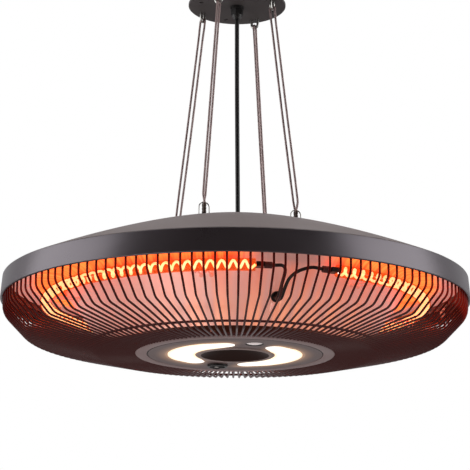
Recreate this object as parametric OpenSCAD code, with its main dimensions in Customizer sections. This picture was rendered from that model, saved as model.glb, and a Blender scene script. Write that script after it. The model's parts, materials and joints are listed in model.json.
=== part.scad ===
/* [Heater body] */
// Diameter of the rim over its lower lip
rim_d = 600; // [570:5:630]
// Height of the lip above the lamp face
lip_h = 63; // [60:1:68]
// Height of the rim band
band_h = 29; // [26:1:34]
// How much narrower the band is at its top, on the radius
band_taper = 2.4; // [1.5:0.1:3]
// Wall of the rim band
band_t = 1.2; // [0.8:0.1:1.4]
// Rise of the dome from the band to the crown
dome_h = 86; // [78:1:96]
// Power of the dome's curve, 1 is a cone and 2 a bowl
dome_power = 1.5; // [1.4:0.05:1.7]
// Wall of the dome
dome_t = 1.5; // [1:0.1:2]
// Depth of the dome's turned-down edge
skirt_h = 11.5; // [9:0.5:12.5]
// Radius of the dark cap on the crown
cap_r = 29; // [26:1:34]
// Thickness of the cap at its edge
cap_t = 3; // [2:0.5:4]

/* [Guard] */
// Number of bars
bar_count = 140; // [100:4:148]
// Thickness of a bar
bar_d = 2.8; // [2:0.1:3]
// Clear space between the bars and the lip
bar_inset = 3.6; // [3.3:0.1:5]
// Height of the upper bend's corner
bend_z = 48.5; // [44:0.5:52]
// How far the knee stands in from the upright bars
knee_in = 27; // [22:1:32]
// Height of the knee's corner
knee_z = 20.4; // [16:0.5:24]
// Radius at which the bars become flat
toe_r = 178; // [172:1:182]
// Radius of the support ring
support_r = 190; // [186:1:205]
// Wire of the support ring
support_d = 3; // [2:0.5:4]
// Height of the guard's top ring
top_ring_h = 9; // [7:0.5:10]
// Thickness of the guard's top and hub rings
ring_t = 1.5; // [1:0.1:2]

/* [Heating elements] */
// Distance of the tubes in from the rim
tube_in = 58; // [55:1:60]
// Height of the tubes' centre above the lamp face
tube_z = 61.5; // [59:0.5:63]
// Outer diameter of a quartz tube
tube_d = 15; // [13.5:0.5:16]
// Wall of a quartz tube
tube_wall = 1.2; // [1:0.1:1.4]
// Half of the gap between the tubes, in degrees
tube_gap = 12; // [12:0.25:14]
// Outer diameter of the filament's coil
coil_d = 11; // [10:0.5:11]
// Thickness of the filament
filament_d = 1.9; // [1.5:0.1:2.2]
// Curls in each filament
curls = 46; // [30:2:46]
// Height of the reflector's wing over the tubes
wing_z = 86; // [84:0.5:88]
// Radius of the reflector's lower edge
reflector_r = 164.5; // [160:0.5:168]
// Height of the reflector's lower edge
reflector_z = 5.5; // [4.5:0.5:8]
// Sheet of the reflector
reflector_t = 0.8; // [0.5:0.1:1]

/* [Lamp face] */
// Outer radius of the bezel ring
bezel_r = 127.2; // [125:0.2:129]
// Width of the bezel ring's face
bezel_w = 14.7; // [14:0.1:16]
// Thickness of the face plate
plate_t = 2; // [1.5:0.1:2.2]
// Dark gap between the plate and the bezel
plate_gap = 0.9; // [0.5:0.1:0.9]
// Inner radius of the lights
light_in = 51; // [51:0.5:54]
// Outer radius of the lights
light_out = 86; // [83:0.5:90]
// Radius of the dish in the middle
dish_r = 44; // [38:0.5:44]
// Depth of the dish
dish_depth = 12; // [8:0.5:14]
// Distance of the sensor window from the centre
window_at = 80; // [78:0.5:82]
// Radius of the sensor window
window_r = 10.6; // [9.4:0.2:11]
// Distance of the switch from the centre
switch_at = 77; // [76:0.5:84]
// Radius of the switch's flange
switch_r = 13.5; // [13.2:0.1:15]
// Tilt of the rocker to each side, in degrees
rocker_tilt = 12; // [8:1:13]
// How far the bezel stands out past the lamp housing
bezel_overhang = 9.5; // [8.5:0.5:10.5]

/* [Suspension] */
// Height of the bails' crowns below the ceiling
crown_z = -296; // [-297:0.25:-296]
// Distance of each bail from the two centre lines
anchor_x = 61; // [60.5:0.25:61.5]
// Height of a bail above the dome
bail_h = 15.5; // [15:0.5:20]
// Width of a bail between its legs
bail_w = 13.6; // [12:0.2:16]
// Wire of a bail
bail_d = 1.5; // [1.2:0.1:1.6]
// Thickness of a wire rope
rope_d = 2.8; // [2.2:0.1:2.8]
// Length of a crimp sleeve
sleeve_l = 13; // [10:0.5:13.5]
// Thickness of the power cord
cord_d = 6; // [5:0.2:6]
// Radius of the ceiling plate
ceiling_r = 65; // [62:1:75]
// Thickness of the ceiling plate
ceiling_t = 4; // [3:0.25:4]
// Circle of the ceiling plate's bolt holes
bolt_circle = 100; // [98:1:106]
// Radius of the ceiling plate's bolt holes
bolt_hole_r = 3.2; // [2.5:0.1:3.6]

/* [Hidden] */
$fn = 96;

// Clearance between pieces that seat on each other
seat = 0.3;
// Clearance between pieces that lie close together
near = 0.2;
rim_r = rim_d / 2;
band_top = lip_h + band_h;
crown = band_top + dome_h;
shell_r = rim_r - band_taper - band_t - seat;
plate_back = plate_t / 2;
plate_face = -plate_t / 2;
plate_r = bezel_r - bezel_w - plate_gap;
housing_r = bezel_r - bezel_overhang;

// Height of the dome's outside above the lamp face, at radius r
function dome_at(r) = crown - dome_h * pow(r / (rim_r - 3), dome_power);
anchor_r = norm([anchor_x, anchor_x]);
face_z = crown_z - bail_h - dome_at(anchor_r);

function unit(v) = v / norm(v);
// Direction of an angle counted from the front, towards the right
function bearing(a) = [sin(a), -cos(a)];

module at_heater() translate([0, 0, face_z]) children();

// Copies on a circle, the first at bearing start
module around(count, r, start = 0)
    for (i = [0:count - 1])
        rotate([0, 0, start + 360 * i / count - 90]) translate([r, 0, 0]) children();

// Copies at the given bearings, turned to face outwards
module at_bearings(list, r)
    for (a = list)
        rotate([0, 0, a - 90]) translate([r, 0, 0]) children();

module four_corners(x) for (sx = [-1, 1], sy = [-1, 1]) translate([sx * x, sy * x, 0]) children();

module flat_ring(r_in, r_out, z, h)
    rotate_extrude() translate([r_in, z]) square([r_out - r_in, h]);

// A tube of the given thickness swept along points, with ref across its path
module swept(path, ref, d, sides = 8) {
    n = len(path);
    rings = [for (i = [0:n - 1])
        let(t = unit(path[min(i + 1, n - 1)] - path[max(i - 1, 0)]),
            u = unit(cross(t, is_num(ref[0]) ? ref : ref[i])),
            v = cross(t, u))
        for (k = [0:sides - 1]) path[i] + d / 2 * (u * cos(360 * k / sides) + v * sin(360 * k / sides))];
    walls = [for (i = [0:n - 2], k = [0:sides - 1])
        let(a = i * sides + k, b = i * sides + (k + 1) % sides, c = a + sides, e = b + sides)
        each [[a, b, e], [a, e, c]]];
    first = [for (k = [1:sides - 2]) [0, k + 1, k]];
    last = [for (k = [1:sides - 2]) [(n - 1) * sides, (n - 1) * sides + k, (n - 1) * sides + k + 1]];
    polyhedron([for (p = rings) p], [for (f = concat(walls, first, last)) [f[0], f[2], f[1]]], convexity = 8);
}

// Ceiling fitting
hub_bore_r = 6;
eye_x = 37;
eye_wire = 3.6;
eye_w = 9;
eye_z = -16;

module ceiling_plate() {
    color("dimgray") difference() {
        rotate_extrude() polygon([[0, -ceiling_t], [ceiling_r - 0.8, -ceiling_t],
            [ceiling_r, -ceiling_t + 0.8], [ceiling_r, -1], [ceiling_r - 1, 0], [0, 0]]);
        translate([0, 0, -ceiling_t - 1]) cylinder(r = hub_bore_r, h = ceiling_t + 2);
        around(4, bolt_circle / 2) translate([0, 0, -ceiling_t - 1])
            cylinder(r = bolt_hole_r, h = ceiling_t + 2);
    }
}

gland_end = -22;
module ceiling_gland() {
    color("black") union() {
        translate([0, 0, -ceiling_t]) cylinder(r = hub_bore_r - near, h = ceiling_t - 0.5);
        translate([0, 0, -8]) cylinder(r = 9, h = 8 - ceiling_t);
        translate([0, 0, -16]) cylinder(r = 8.6, h = 8, $fn = 6);
        translate([0, 0, gland_end]) cylinder(r1 = 4.5, r2 = 7, h = -16 - gland_end);
    }
}

module rope_eye() {
    arc_z = eye_z + eye_w / 2;
    for (s = [-1, 1])
        translate([0, s * eye_w / 2, arc_z]) cylinder(d = eye_wire, h = -ceiling_t - arc_z);
    translate([0, 0, arc_z]) rotate([0, 90, 0]) rotate([0, 0, -90])
        rotate_extrude(angle = 180) translate([eye_w / 2, 0]) circle(d = eye_wire);
}

module rope_eyes() {
    color("silver") around(4, norm([eye_x, eye_x]), 45) rope_eye();
}

strand_y = 2.3;
sleeve_r = rope_d / 2 + 1.2;
// The sleeves fill the bails' arches, just clear of the wire
sleeve_top = crown_z - bail_w / 2 + sqrt(pow((bail_w - bail_d) / 2, 2) - pow(sleeve_r, 2)) - near / 2;
// Route of the front right rope: up from its sleeve, over the eye and down again
rope_route = [[61, -63.3, sleeve_top], [61, -63.3, -293], [61.2, -63, -288], [61.9, -62.2, -279],
    [52, -52, -165], [41.3, -41.3, -40], [39.45, -39.45, -16], [38.75, -38.75, -13.5],
    [37, -37, -12.55], [35.25, -35.25, -13.5], [34.55, -34.55, -16], [36.8, -36.8, -40],
    [47.4, -47.4, -165], [57.8, -57.8, -279], [60, -58.8, -288], [61, -58.7, -293],
    [61, -58.7, sleeve_top]];

// One rope, mirrored to its corner; mx and my are 1 or -1
module rope(mx, my) {
    color("silver") swept([for (p = rope_route) [mx * p.x, -my * p.y, p.z]], [mx, -my, 0], rope_d);
}
module rope_front_right() { rope(1, -1); }
module rope_front_left() { rope(-1, -1); }
module rope_rear_right() { rope(1, 1); }
module rope_rear_left() { rope(-1, 1); }

module crimp_sleeves() {
    color("dimgray") four_corners(anchor_x) translate([0, 0, sleeve_top - sleeve_l]) union() {
        for (s = [-1, 1]) translate([0, s * strand_y, 0]) cylinder(r = sleeve_r, h = sleeve_l);
        translate([-sleeve_r, -strand_y, 0]) cube([2 * sleeve_r, 2 * strand_y, sleeve_l]);
    }
}

leg_end = 9;
module wire_bails() {
    arc_z = crown_z - bail_w / 2;
    leg_z = crown_z - bail_h - dome_t - leg_end;
    color("lightgray") four_corners(anchor_x) union() {
        for (s = [-1, 1]) translate([s * bail_w / 2, 0, leg_z]) cylinder(d = bail_d, h = arc_z - leg_z);
        translate([0, 0, arc_z]) rotate([90, 0, 0])
            rotate_extrude(angle = 180) translate([bail_w / 2, 0]) circle(d = bail_d);
    }
}

// Route of the power cord from the ceiling gland through the cap to the inlet gland
cord_hole_x = 2.5;
cord_route = [[0, 0, -22], [0, 0, -34], [0.5, 0, -110], [1.5, 0, -200], [2.5, 0, -280], [2.5, 0, -304],
    [1.5, 0, -330], [0.2, 0, -356], [0, 0, -372]];
module power_cord() {
    color("black") swept(cord_route, [0, 1, 0], cord_d, 12);
}

// Dome, band and cap
cap_screw_x = 19;
cap_screw_r = 1.5;
function dome_profile(from, to, offset, n) =
    [for (i = [0:n]) let(r = from + (to - from) * i / n) [r, dome_at(r) - offset]];

module cap_screw_holes(r)
    for (s = [-1, 1]) translate([0, s * cap_screw_x, crown - 30]) cylinder(r = r, h = 60);

module top_shell() {
    edge_z = dome_at(shell_r) - 1.5;
    color("gray") at_heater() difference() {
        rotate_extrude() polygon(concat(
            dome_profile(0, shell_r - 2, 0, 24),
            [[shell_r - 0.6, dome_at(shell_r) + 0.1], [shell_r, edge_z], [shell_r, band_top - skirt_h],
             [shell_r - dome_t, band_top - skirt_h], [shell_r - dome_t, edge_z]],
            dome_profile(shell_r - dome_t - 2, 0, dome_t, 24)));
        translate([cord_hole_x, 0, crown - 20]) cylinder(r = cord_d, h = 40);
        cap_screw_holes(cap_screw_r + near);
        four_corners(anchor_x) for (s = [-1, 1])
            translate([s * bail_w / 2, 0, 0]) cylinder(d = bail_d + 0.6, h = crown);
    }
}

module rim_band() {
    top_r = rim_r - band_taper;
    lip_in = rim_r - bar_inset + 0.5;
    color("#2b2829") at_heater() rotate_extrude() polygon([
        [lip_in, lip_h], [rim_r - 1, lip_h], [rim_r, lip_h + 1.2], [top_r + 0.1, band_top - 1.2],
        [top_r - 0.4, band_top - 0.5], [top_r - band_t, band_top - 0.5],
        [rim_r - band_t - 0.1, lip_h + band_t + 1], [rim_r - band_t - 0.6, lip_h + band_t],
        [lip_in, lip_h + band_t]]);
}

module top_cap() {
    color("#1c1c1e") at_heater() difference() {
        rotate_extrude() polygon(concat(
            dome_profile(0, cap_r, -near, 6),
            [[cap_r, dome_at(cap_r) + cap_t - 0.8], [cap_r - 1, dome_at(cap_r) + cap_t],
             [0, crown + cap_t]]));
        translate([cord_hole_x, 0, crown - 20]) cylinder(r = cord_d / 2 + 1.7, h = 40);
        cap_screw_holes(cap_screw_r + near);
    }
}

module cap_grommet() {
    color("black") at_heater() translate([cord_hole_x, 0, crown]) difference() {
        translate([0, 0, -2]) cylinder(r = cord_d / 2 + 1.5, h = cap_t + 2.2);
        translate([0, 0, -3]) cylinder(r = cord_d / 2 + 0.15, h = cap_t + 5);
    }
}

module cap_screws() {
    seat_z = dome_at(cap_screw_x) + cap_t + 1.1;
    color("silver") at_heater() for (s = [-1, 1]) translate([0, s * cap_screw_x, 0]) union() {
        translate([0, 0, seat_z - 14]) cylinder(r = cap_screw_r, h = 14);
        translate([0, 0, seat_z]) cylinder(r1 = 2.8, r2 = 1.8, h = 1.6);
    }
}

// Frame inside the heater
cross_t = 2;
cross_z = wing_z + reflector_t + seat;
cross_top = cross_z + cross_t;
cross_hub_r = 105;
arm_w = 24;
arm_end = rim_r - 16;
post_r = 7;
block_w = 26;
block_d = 14;
post_bolt_r = 3;
gland_bore_r = 8;
wing_screw_at = arm_end - 14;

// Everything below the dome's inner face
module under_dome(gap)
    rotate_extrude()
        polygon(concat([[0, 0], [shell_r - 8, 0]], dome_profile(shell_r - 8, 0, dome_t + gap, 24)));

module hanger_posts() {
    color("darkgray") at_heater() difference() {
        intersection() {
            four_corners(anchor_x) union() {
                translate([0, 0, cross_top + near]) cylinder(r = post_r, h = crown);
                translate([-block_w / 2, -block_d / 2, dome_at(anchor_r) - 22]) cube([block_w, block_d, 40]);
            }
            under_dome(near);
        }
        four_corners(anchor_x) union() {
            for (s = [-1, 1]) translate([s * bail_w / 2, 0, dome_at(anchor_r) - dome_t - leg_end - 0.5])
                cylinder(d = bail_d + near, h = 40);
            translate([0, 0, cross_top]) cylinder(r = post_bolt_r + 0.1, h = 20);
        }
    }
}

module post_screws() {
    color("silver") at_heater() four_corners(anchor_x) union() {
        translate([0, 0, cross_z - near]) cylinder(r = post_bolt_r, h = 18);
        translate([0, 0, cross_z - near - 4]) cylinder(r = 5.5, h = 4, $fn = 6);
    }
}

module support_cross() {
    color("lightsteelblue") at_heater() difference() {
        translate([0, 0, cross_z]) union() {
            cylinder(r = cross_hub_r, h = cross_t);
            for (a = [45:90:315]) rotate([0, 0, a]) translate([0, -arm_w / 2, 0])
                cube([arm_end, arm_w, cross_t]);
        }
        translate([0, 0, cross_z - 1]) cylinder(r = gland_bore_r, h = cross_t + 2);
        four_corners(anchor_x) translate([0, 0, cross_z - 1])
            cylinder(r = post_bolt_r + near, h = cross_t + 2);
        around(4, wing_screw_at, 45) translate([0, 0, cross_z - 1]) cylinder(r = 2.2, h = cross_t + 2);
        around(4, cross_hub_r - 25) translate([0, 0, cross_z - 1]) cylinder(r = 16, h = cross_t + 2);
    }
}

shield_z = cross_top + 3;
module heat_shield() {
    color("silver") at_heater() union() {
        flat_ring(cross_hub_r + 20, arm_end - 24, shield_z, 1);
        for (r = [cross_hub_r + 35, arm_end - 40]) around(4, r, 45)
            translate([0, 0, cross_top + near]) cylinder(r = 4, h = shield_z - cross_top);
    }
}

tube_r = rim_r - tube_in;
cone_top_r = tube_r - 24;
cone_top_z = wing_z - 10;
wing_bend = 22;
wing_out = arm_end + 4;
cone_slope = (cone_top_z - reflector_z) / (cone_top_r - reflector_r);
cone_angle = atan(cone_slope);
// Radius of the cone's lit face at height z
function cone_at(z) = reflector_r + (z - reflector_z) / cone_slope;
grommet_z = 37;
grommet_r = cone_at(grommet_z);
grommet_bearing = -2.5;

// Places children on the cone at a bearing and height, with their +Z out of the lit face
module on_cone(a, z)
    rotate([0, 0, a - 90]) translate([cone_at(z), 0, z]) rotate([0, 90 + 90 - cone_angle, 0]) children();

// The lit face from its lower edge up the cone, round the bend and out under the wing
function lit_line() =
    let(p = [[reflector_r, reflector_z], [cone_at(wing_z), wing_z], [wing_out, wing_z]])
    concat([p[0]], bend_points(p, 1, wing_bend, 5), [p[2]]);

module reflector() {
    line = lit_line();
    last = len(line) - 1;
    back = [for (i = [last:-1:0]) line[i] + normal_at(line, i) * reflector_t];
    color("mistyrose") at_heater() difference() {
        rotate_extrude() polygon(concat(line, back));
        for (a = [0, 180]) on_cone(grommet_bearing + a, grommet_z)
            translate([0, 0, -5]) cylinder(r = 5.8, h = 10);
        around(4, wing_screw_at, 45) translate([0, 0, wing_z - 1]) cylinder(r = 2.2, h = 4);
    }
}

module reflector_screws() {
    color("silver") at_heater() around(4, wing_screw_at, 45) union() {
        translate([0, 0, wing_z - 2.5]) cylinder(r = 2, h = cross_top + near - wing_z + 2.5);
        translate([0, 0, cross_top + near]) cylinder(r = 3.6, h = 2);
        translate([0, 0, wing_z - 2.5]) cylinder(r = 3.4, h = 2.3);
    }
}

inlet_top = 104;
module inlet_gland() {
    color("black") at_heater() union() {
        translate([0, 0, cross_z - 8]) cylinder(r = gland_bore_r - near, h = 8 + cross_t + near);
        translate([0, 0, cross_top + near]) cylinder(r = 11, h = 8, $fn = 6);
        translate([0, 0, cross_top + near + 7.5])
            cylinder(r1 = 9, r2 = 5, h = inlet_top - cross_top - near - 7.5);
    }
}

// Guard
bar_r = rim_r - bar_inset - bar_d / 2;
bar_top = lip_h + 15;
bar_end = bezel_r + 0.4;
bar_slope = atan2(knee_z, bar_r - knee_in - toe_r);
bar_corners = [[bar_r, bar_top], [bar_r, bend_z], [bar_r - knee_in, knee_z], [toe_r, 0], [bar_end, 0]];
bend_radii = [0, 14, 16, 30, 0];

// Points of the round bend at corner i of a line p
function bend_points(p, i, r, n) =
    let(a = unit(p[i] - p[i - 1]), b = unit(p[i + 1] - p[i]), sweep = acos(a * b), s = sign(cross(a, b)),
        from = p[i] - a * r * tan(sweep / 2), centre = from + r * s * [-a.y, a.x], v = from - centre)
    [for (k = [0:n]) let(w = s * sweep * k / n)
        centre + [v.x * cos(w) - v.y * sin(w), v.x * sin(w) + v.y * cos(w)]];
function bar_line() = concat([bar_corners[0]], bend_points(bar_corners, 1, bend_radii[1], 3),
    bend_points(bar_corners, 2, bend_radii[2], 3), bend_points(bar_corners, 3, bend_radii[3], 2),
    [bar_corners[4]]);
function normal_at(q, i) =
    let(d = unit(q[min(i + 1, len(q) - 1)] - q[max(i - 1, 0)])) [-d.y, d.x];
function thick_line(q, w) = concat([for (i = [0:len(q) - 1]) q[i] + normal_at(q, i) * w / 2],
    [for (i = [len(q) - 1:-1:0]) q[i] - normal_at(q, i) * w / 2]);

module guard_bars() {
    outline = thick_line(bar_line(), bar_d);
    color("#171314") at_heater() around(bar_count, 0, 180 / bar_count)
        rotate([90, 0, 0]) translate([0, 0, -bar_d / 2]) linear_extrude(bar_d) polygon(outline);
}

top_ring_out = bar_r - bar_d / 2 - near;
top_ring_in = top_ring_out - ring_t;
top_ring_z = bar_top - top_ring_h;
bracket_count = 6;
bracket_w = 14;
bracket_t = 1.8;
guard_screw_r = 2;
guard_screw_z = top_ring_z + 4.5;

module guard_top_ring() {
    color("#171314") at_heater() difference() {
        flat_ring(top_ring_in, top_ring_out, top_ring_z, top_ring_h);
        around(bracket_count, top_ring_in - 2, 30) translate([0, 0, guard_screw_z]) rotate([0, 90, 0])
            cylinder(r = guard_screw_r + near, h = 8);
    }
}

module guard_support_ring() {
    bar_z = (support_r - toe_r) * tan(bar_slope);
    ring_z = bar_z + (bar_d / 2 + support_d / 2 + 0.1) / cos(bar_slope);
    color("#171314") at_heater() rotate_extrude() translate([support_r, ring_z]) circle(d = support_d);
}

hub_ring_out = bezel_r + 6;
hub_ring_in = housing_r + 0.5;
hub_ring_z = bar_d / 2 + near;
hub_screw_at = (housing_r + bezel_r) / 2 + 2;
hub_screw_r = 1.9;
module guard_hub_ring() {
    color("#171314") at_heater() difference() {
        flat_ring(hub_ring_in, hub_ring_out, hub_ring_z, ring_t);
        around(6, hub_screw_at, 30) translate([0, 0, hub_ring_z - 1])
            cylinder(r = hub_screw_r + 0.1, h = ring_t + 2);
    }
}

module guard_brackets() {
    outer = top_ring_in - seat;
    skirt_in = shell_r - dome_t - seat;
    low = top_ring_z - 1;
    turn = bar_top + 0.5;
    high = band_top - 5;
    color("silver") at_heater() difference() {
        around(bracket_count, 0, 30) rotate([90, 0, 0]) translate([0, 0, -bracket_w / 2])
            linear_extrude(bracket_w) polygon([[outer, low], [outer, turn],
                [skirt_in, turn + skirt_in - outer], [skirt_in, high], [skirt_in - bracket_t, high],
                [skirt_in - bracket_t, turn + skirt_in - outer + 0.8],
                [outer - bracket_t, turn + 0.8], [outer - bracket_t, low]]);
        around(bracket_count, outer - 4, 30) translate([0, 0, guard_screw_z]) rotate([0, 90, 0])
            cylinder(r = guard_screw_r + near, h = 8);
    }
}

module guard_screws() {
    head_at = top_ring_in - seat - bracket_t - near;
    color("silver") at_heater() around(bracket_count, head_at, 30) translate([0, 0, guard_screw_z]) union() {
        rotate([0, 90, 0]) cylinder(r = guard_screw_r, h = top_ring_out - head_at);
        rotate([0, -90, 0]) cylinder(r = 3.4, h = 2.2);
    }
}

// Heating elements
seal_l = 9.6;
seal_w = 12;
seal_h = 5.6;
ceramic_l = 9;
ceramic_r = 4;
function degrees(length) = length / tube_r * 180 / PI;
seal_at = tube_gap - degrees(seal_l / 2 + 0.6);
ceramic_at = seal_at - degrees(seal_l / 2 + ceramic_l / 2 + seat);

// Places children on the tube circle at a bearing, with +X outwards and +Y along the tube
module on_tube(a) rotate([0, 0, a - 90]) translate([tube_r, 0, tube_z]) children();

module quartz_tube() {
    rotate([0, 0, tube_gap - 90]) rotate_extrude(angle = 180 - 2 * tube_gap) translate([tube_r, tube_z])
        difference() {
            circle(d = tube_d);
            circle(d = tube_d - 2 * tube_wall);
        }
}
module quartz_tube_right() { color("peachpuff", 0.4) at_heater() quartz_tube(); }
module quartz_tube_left() { color("peachpuff", 0.4) at_heater() rotate([0, 0, 180]) quartz_tube(); }

// The filament: a coil that follows the tube, with a straight tail at each end
coil_from = tube_gap + 1.5;
coil_to = 180 - coil_from;
coil_r = (coil_d - filament_d) / 2;
steps = 8;
function coil_frame(a) = [[sin(a), -cos(a), 0], [0, 0, 1]];
function coil_turn(i) = -360 * i / steps + 90;
function coil_bearing(i) = coil_from + (coil_to - coil_from) * i / (curls * steps);
function coil_side(i) =
    let(f = coil_frame(coil_bearing(i))) f[0] * cos(coil_turn(i)) + f[1] * sin(coil_turn(i));
function coil_point(i) = coil_frame(coil_bearing(i))[0] * tube_r + [0, 0, tube_z] + coil_r * coil_side(i);
function tail_point(a) = coil_frame(a)[0] * tube_r + [0, 0, tube_z + coil_r * 0.6];
coil_path = concat([tail_point(tube_gap + 0.1), tail_point(tube_gap + 0.7)],
    [for (i = [0:curls * steps]) coil_point(i)],
    [tail_point(180 - tube_gap - 0.7), tail_point(180 - tube_gap - 0.1)]);
coil_refs =
    concat([[0, 0, 1], [0, 0, 1]], [for (i = [0:curls * steps]) coil_side(i)], [[0, 0, 1], [0, 0, 1]]);
coil_gap = min([for (i = [0:steps * 3], j = [steps / 2:steps * 3 / 2])
    norm(coil_point(i) - coil_point(i + j))]) - filament_d;
echo("least gap of the filament to itself", coil_gap);

module filament() { swept(coil_path, coil_refs, filament_d, 6); }
module filament_right() { color("orangered") at_heater() filament(); }
module filament_left() { color("orangered") at_heater() rotate([0, 0, 180]) filament(); }

function four_ends(a) = [a, -a, 180 - a, 180 + a];
module tube_end_caps() {
    color("#1a1a1a") at_heater() for (a = four_ends(seal_at)) on_tube(a)
        translate([-seal_w / 2, -seal_l / 2, -seal_h / 2]) cube([seal_w, seal_l, seal_h]);
}

module ceramic_ends() {
    color("#5a2a26") at_heater() for (a = four_ends(ceramic_at)) on_tube(a)
        translate([0, -ceramic_l / 2, 0]) rotate([-90, 0, 0]) cylinder(r = ceramic_r, h = ceramic_l);
}

prong_d = 2;
prong_z = tube_z - 3.5;
hook_r = tube_d / 2 + near + prong_d / 2;
// Two bent prongs that stand on round feet and hook under the tube
module tube_holder() {
    reach = tube_r - sqrt(hook_r * hook_r - 3.5 * 3.5);
    start = cone_at(prong_z) + 1;
    for (s = [-1, 1]) translate([0, s * 6, 0]) union() {
        translate([cone_at(prong_z), 0, prong_z]) rotate([0, 180 - cone_angle, 0])
            translate([0, 0, seat]) cylinder(r = 2.6, h = 1.2);
        translate([start, 0, prong_z]) rotate([0, 90, 0]) cylinder(d = prong_d, h = reach - start);
        translate([tube_r, 0, tube_z]) rotate([90, 0, 0]) rotate([0, 0, 203])
            rotate_extrude(angle = 80) translate([hook_r, 0]) circle(d = prong_d);
    }
}
module tube_holders() {
    color("silver") at_heater() at_bearings([27, -27, 90, -90, 153, -153], 0) tube_holder();
}

// Routes of the two wires of the front pair, from the ceramic ends through the grommet
wire_d = 4.2;
left_wire = [[-30.8, -240, 61.5], [-26, -240.8, 61.7], [-19.5, -240.4, 62.2], [-14.8, -237.4, 60.6],
    [-12.4, -231.6, 57], [-11.4, -223, 51.2], [-10.8, -211, 41.2], [-10.6, -203, 34.6],
    [-10.6, -197.4, 32.4], [-10.6, -192.6, 33.9], [-10.6, -184.8, 39.8], [-10.6, -177, 43.8],
    [-10.6, -166, 46], [-10.6, -123.2, 46]];
right_wire = [[30.8, -240, 61.5], [26, -240.8, 62], [18.5, -240.2, 62.6], [11, -238.4, 61.2],
    [3.5, -234.6, 58.5], [-1.8, -228.8, 54.8], [-4.7, -221.5, 50.2], [-6, -211, 41.2],
    [-6.2, -203, 34.6], [-6.2, -197.4, 32.4], [-6.2, -192.6, 33.9], [-6.2, -184.8, 39.8],
    [-6.2, -177, 43.8], [-6.2, -166, 46], [-6.2, -123.2, 46]];

// The radii that the routes were chosen for: at the housing, at the grommet and at the tubes
route_r = [117.7, 188.4, 242];
real_r = [housing_r, grommet_r, tube_r];
route_tube_z = 61.5;
route_end_x = 31.1;
end_x = tube_r * sin(ceramic_at - degrees(ceramic_l / 2));
// A route's point, moved along with the housing, the grommet and the tubes' ends
function laid(p) = [
    p.x + sign(p.x) * (end_x - route_end_x) * lookup(abs(p.x), [[12, 0], [30, 1]]),
    -lookup(-p.y, [for (i = [0:2]) [route_r[i], real_r[i]]]),
    p.z + lookup(-p.y, [[route_r[1], 0], [route_r[2], tube_z - route_tube_z]])];

module lead_wires() {
    for (route = [left_wire, right_wire])
        swept([for (p = route) laid(p)], [0.35, 0, 1], wire_d);
}
module lead_wires_front() { color("black") translate([0, 0, face_z]) lead_wires(); }
module lead_wires_rear() { color("black") translate([0, 0, face_z]) rotate([0, 0, 180]) lead_wires(); }

module wire_grommets() {
    color("black") at_heater() for (a = [0, 180]) on_cone(grommet_bearing + a, grommet_z) difference() {
        union() {
            translate([0, 0, -2]) cylinder(r = 5.6, h = 4);
            translate([0, 0, near]) cylinder(r = 7, h = 1.8);
        }
        translate([0, 0, -3]) cylinder(r = 4.6, h = 8);
    }
}

bushing_z = 46;
module housing_bushings() {
    color("black") at_heater() for (a = [0, 180]) rotate([0, 0, a]) translate([-8.4, -housing_r, bushing_z])
        rotate([90, 0, 0]) union() {
            translate([0, 0, -4]) cylinder(r = 5, h = 4.5);
            translate([0, 0, 0.7]) cylinder(r = 7, h = 4.7);
        }
}

// Lamp housing and what is in it
housing_wall = 1.2;
flange_in = plate_r - 9;
flange_z = plate_back + seat;
outer_flange_z = hub_ring_z + ring_t + seat;
housing_top = cross_z - seat;
module lamp_housing() {
    wall_in = housing_r - housing_wall;
    color("#3a3634") at_heater() difference() {
        rotate_extrude() polygon([[flange_in, flange_z], [housing_r, flange_z], [housing_r, outer_flange_z],
            [bezel_r + 4, outer_flange_z], [bezel_r + 4, outer_flange_z + housing_wall],
            [housing_r, outer_flange_z + housing_wall], [housing_r, housing_top], [0, housing_top],
            [0, housing_top - housing_wall], [wall_in, housing_top - housing_wall],
            [wall_in, flange_z + housing_wall], [flange_in, flange_z + housing_wall]]);
        translate([0, 0, housing_top - 5]) cylinder(r = gland_bore_r, h = 10);
        four_corners(anchor_x) translate([0, 0, housing_top - 5]) cylinder(r = 7, h = 10);
        around(6, hub_screw_at, 30) translate([0, 0, outer_flange_z - 1])
            cylinder(r = hub_screw_r + near, h = 4);
        for (a = [0, 180]) rotate([0, 0, a]) translate([-8.4, -housing_r + 10, bushing_z])
            rotate([90, 0, 0]) cylinder(r = 5.2, h = 20);
    }
}

module hub_screws() {
    top = outer_flange_z + housing_wall + near;
    color("silver") at_heater() around(6, hub_screw_at, 30) union() {
        translate([0, 0, hub_ring_z]) cylinder(r = hub_screw_r, h = top - hub_ring_z);
        translate([0, 0, top]) cylinder(r = 3.2, h = 2);
    }
}

board_z = 40;
board_w = 120;
board_l = 84;
module control_board() {
    color("darkgreen") at_heater() translate([0, 0, board_z]) union() {
        translate([-board_w / 2, -board_l / 2, 0]) cube([board_w, board_l, 1.6]);
        translate([-50, -30, -16]) cube([28, 20, 16]);
        translate([-50, 8, -16]) cube([28, 20, 16]);
        translate([-8, -28, -22]) cube([34, 30, 22]);
        translate([42, -20, -20]) cylinder(r = 8, h = 20);
        translate([10, 14, -4]) cube([16, 16, 4]);
    }
}

module board_standoffs() {
    color("silver") at_heater() for (sx = [-1, 1], sy = [-1, 1])
        translate([sx * (board_w / 2 - 6), sy * (board_l / 2 - 6), board_z + 1.6 + near])
            cylinder(r = 3, h = housing_top - housing_wall - near - board_z - 1.6 - near);
}

module terminal_block() {
    color("ivory") at_heater() translate([18, -10, housing_top - housing_wall - near - 14]) difference() {
        cube([36, 20, 14]);
        for (i = [0:2]) translate([7 + 11 * i, 10, -1]) cylinder(r = 3, h = 8);
    }
}

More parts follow.
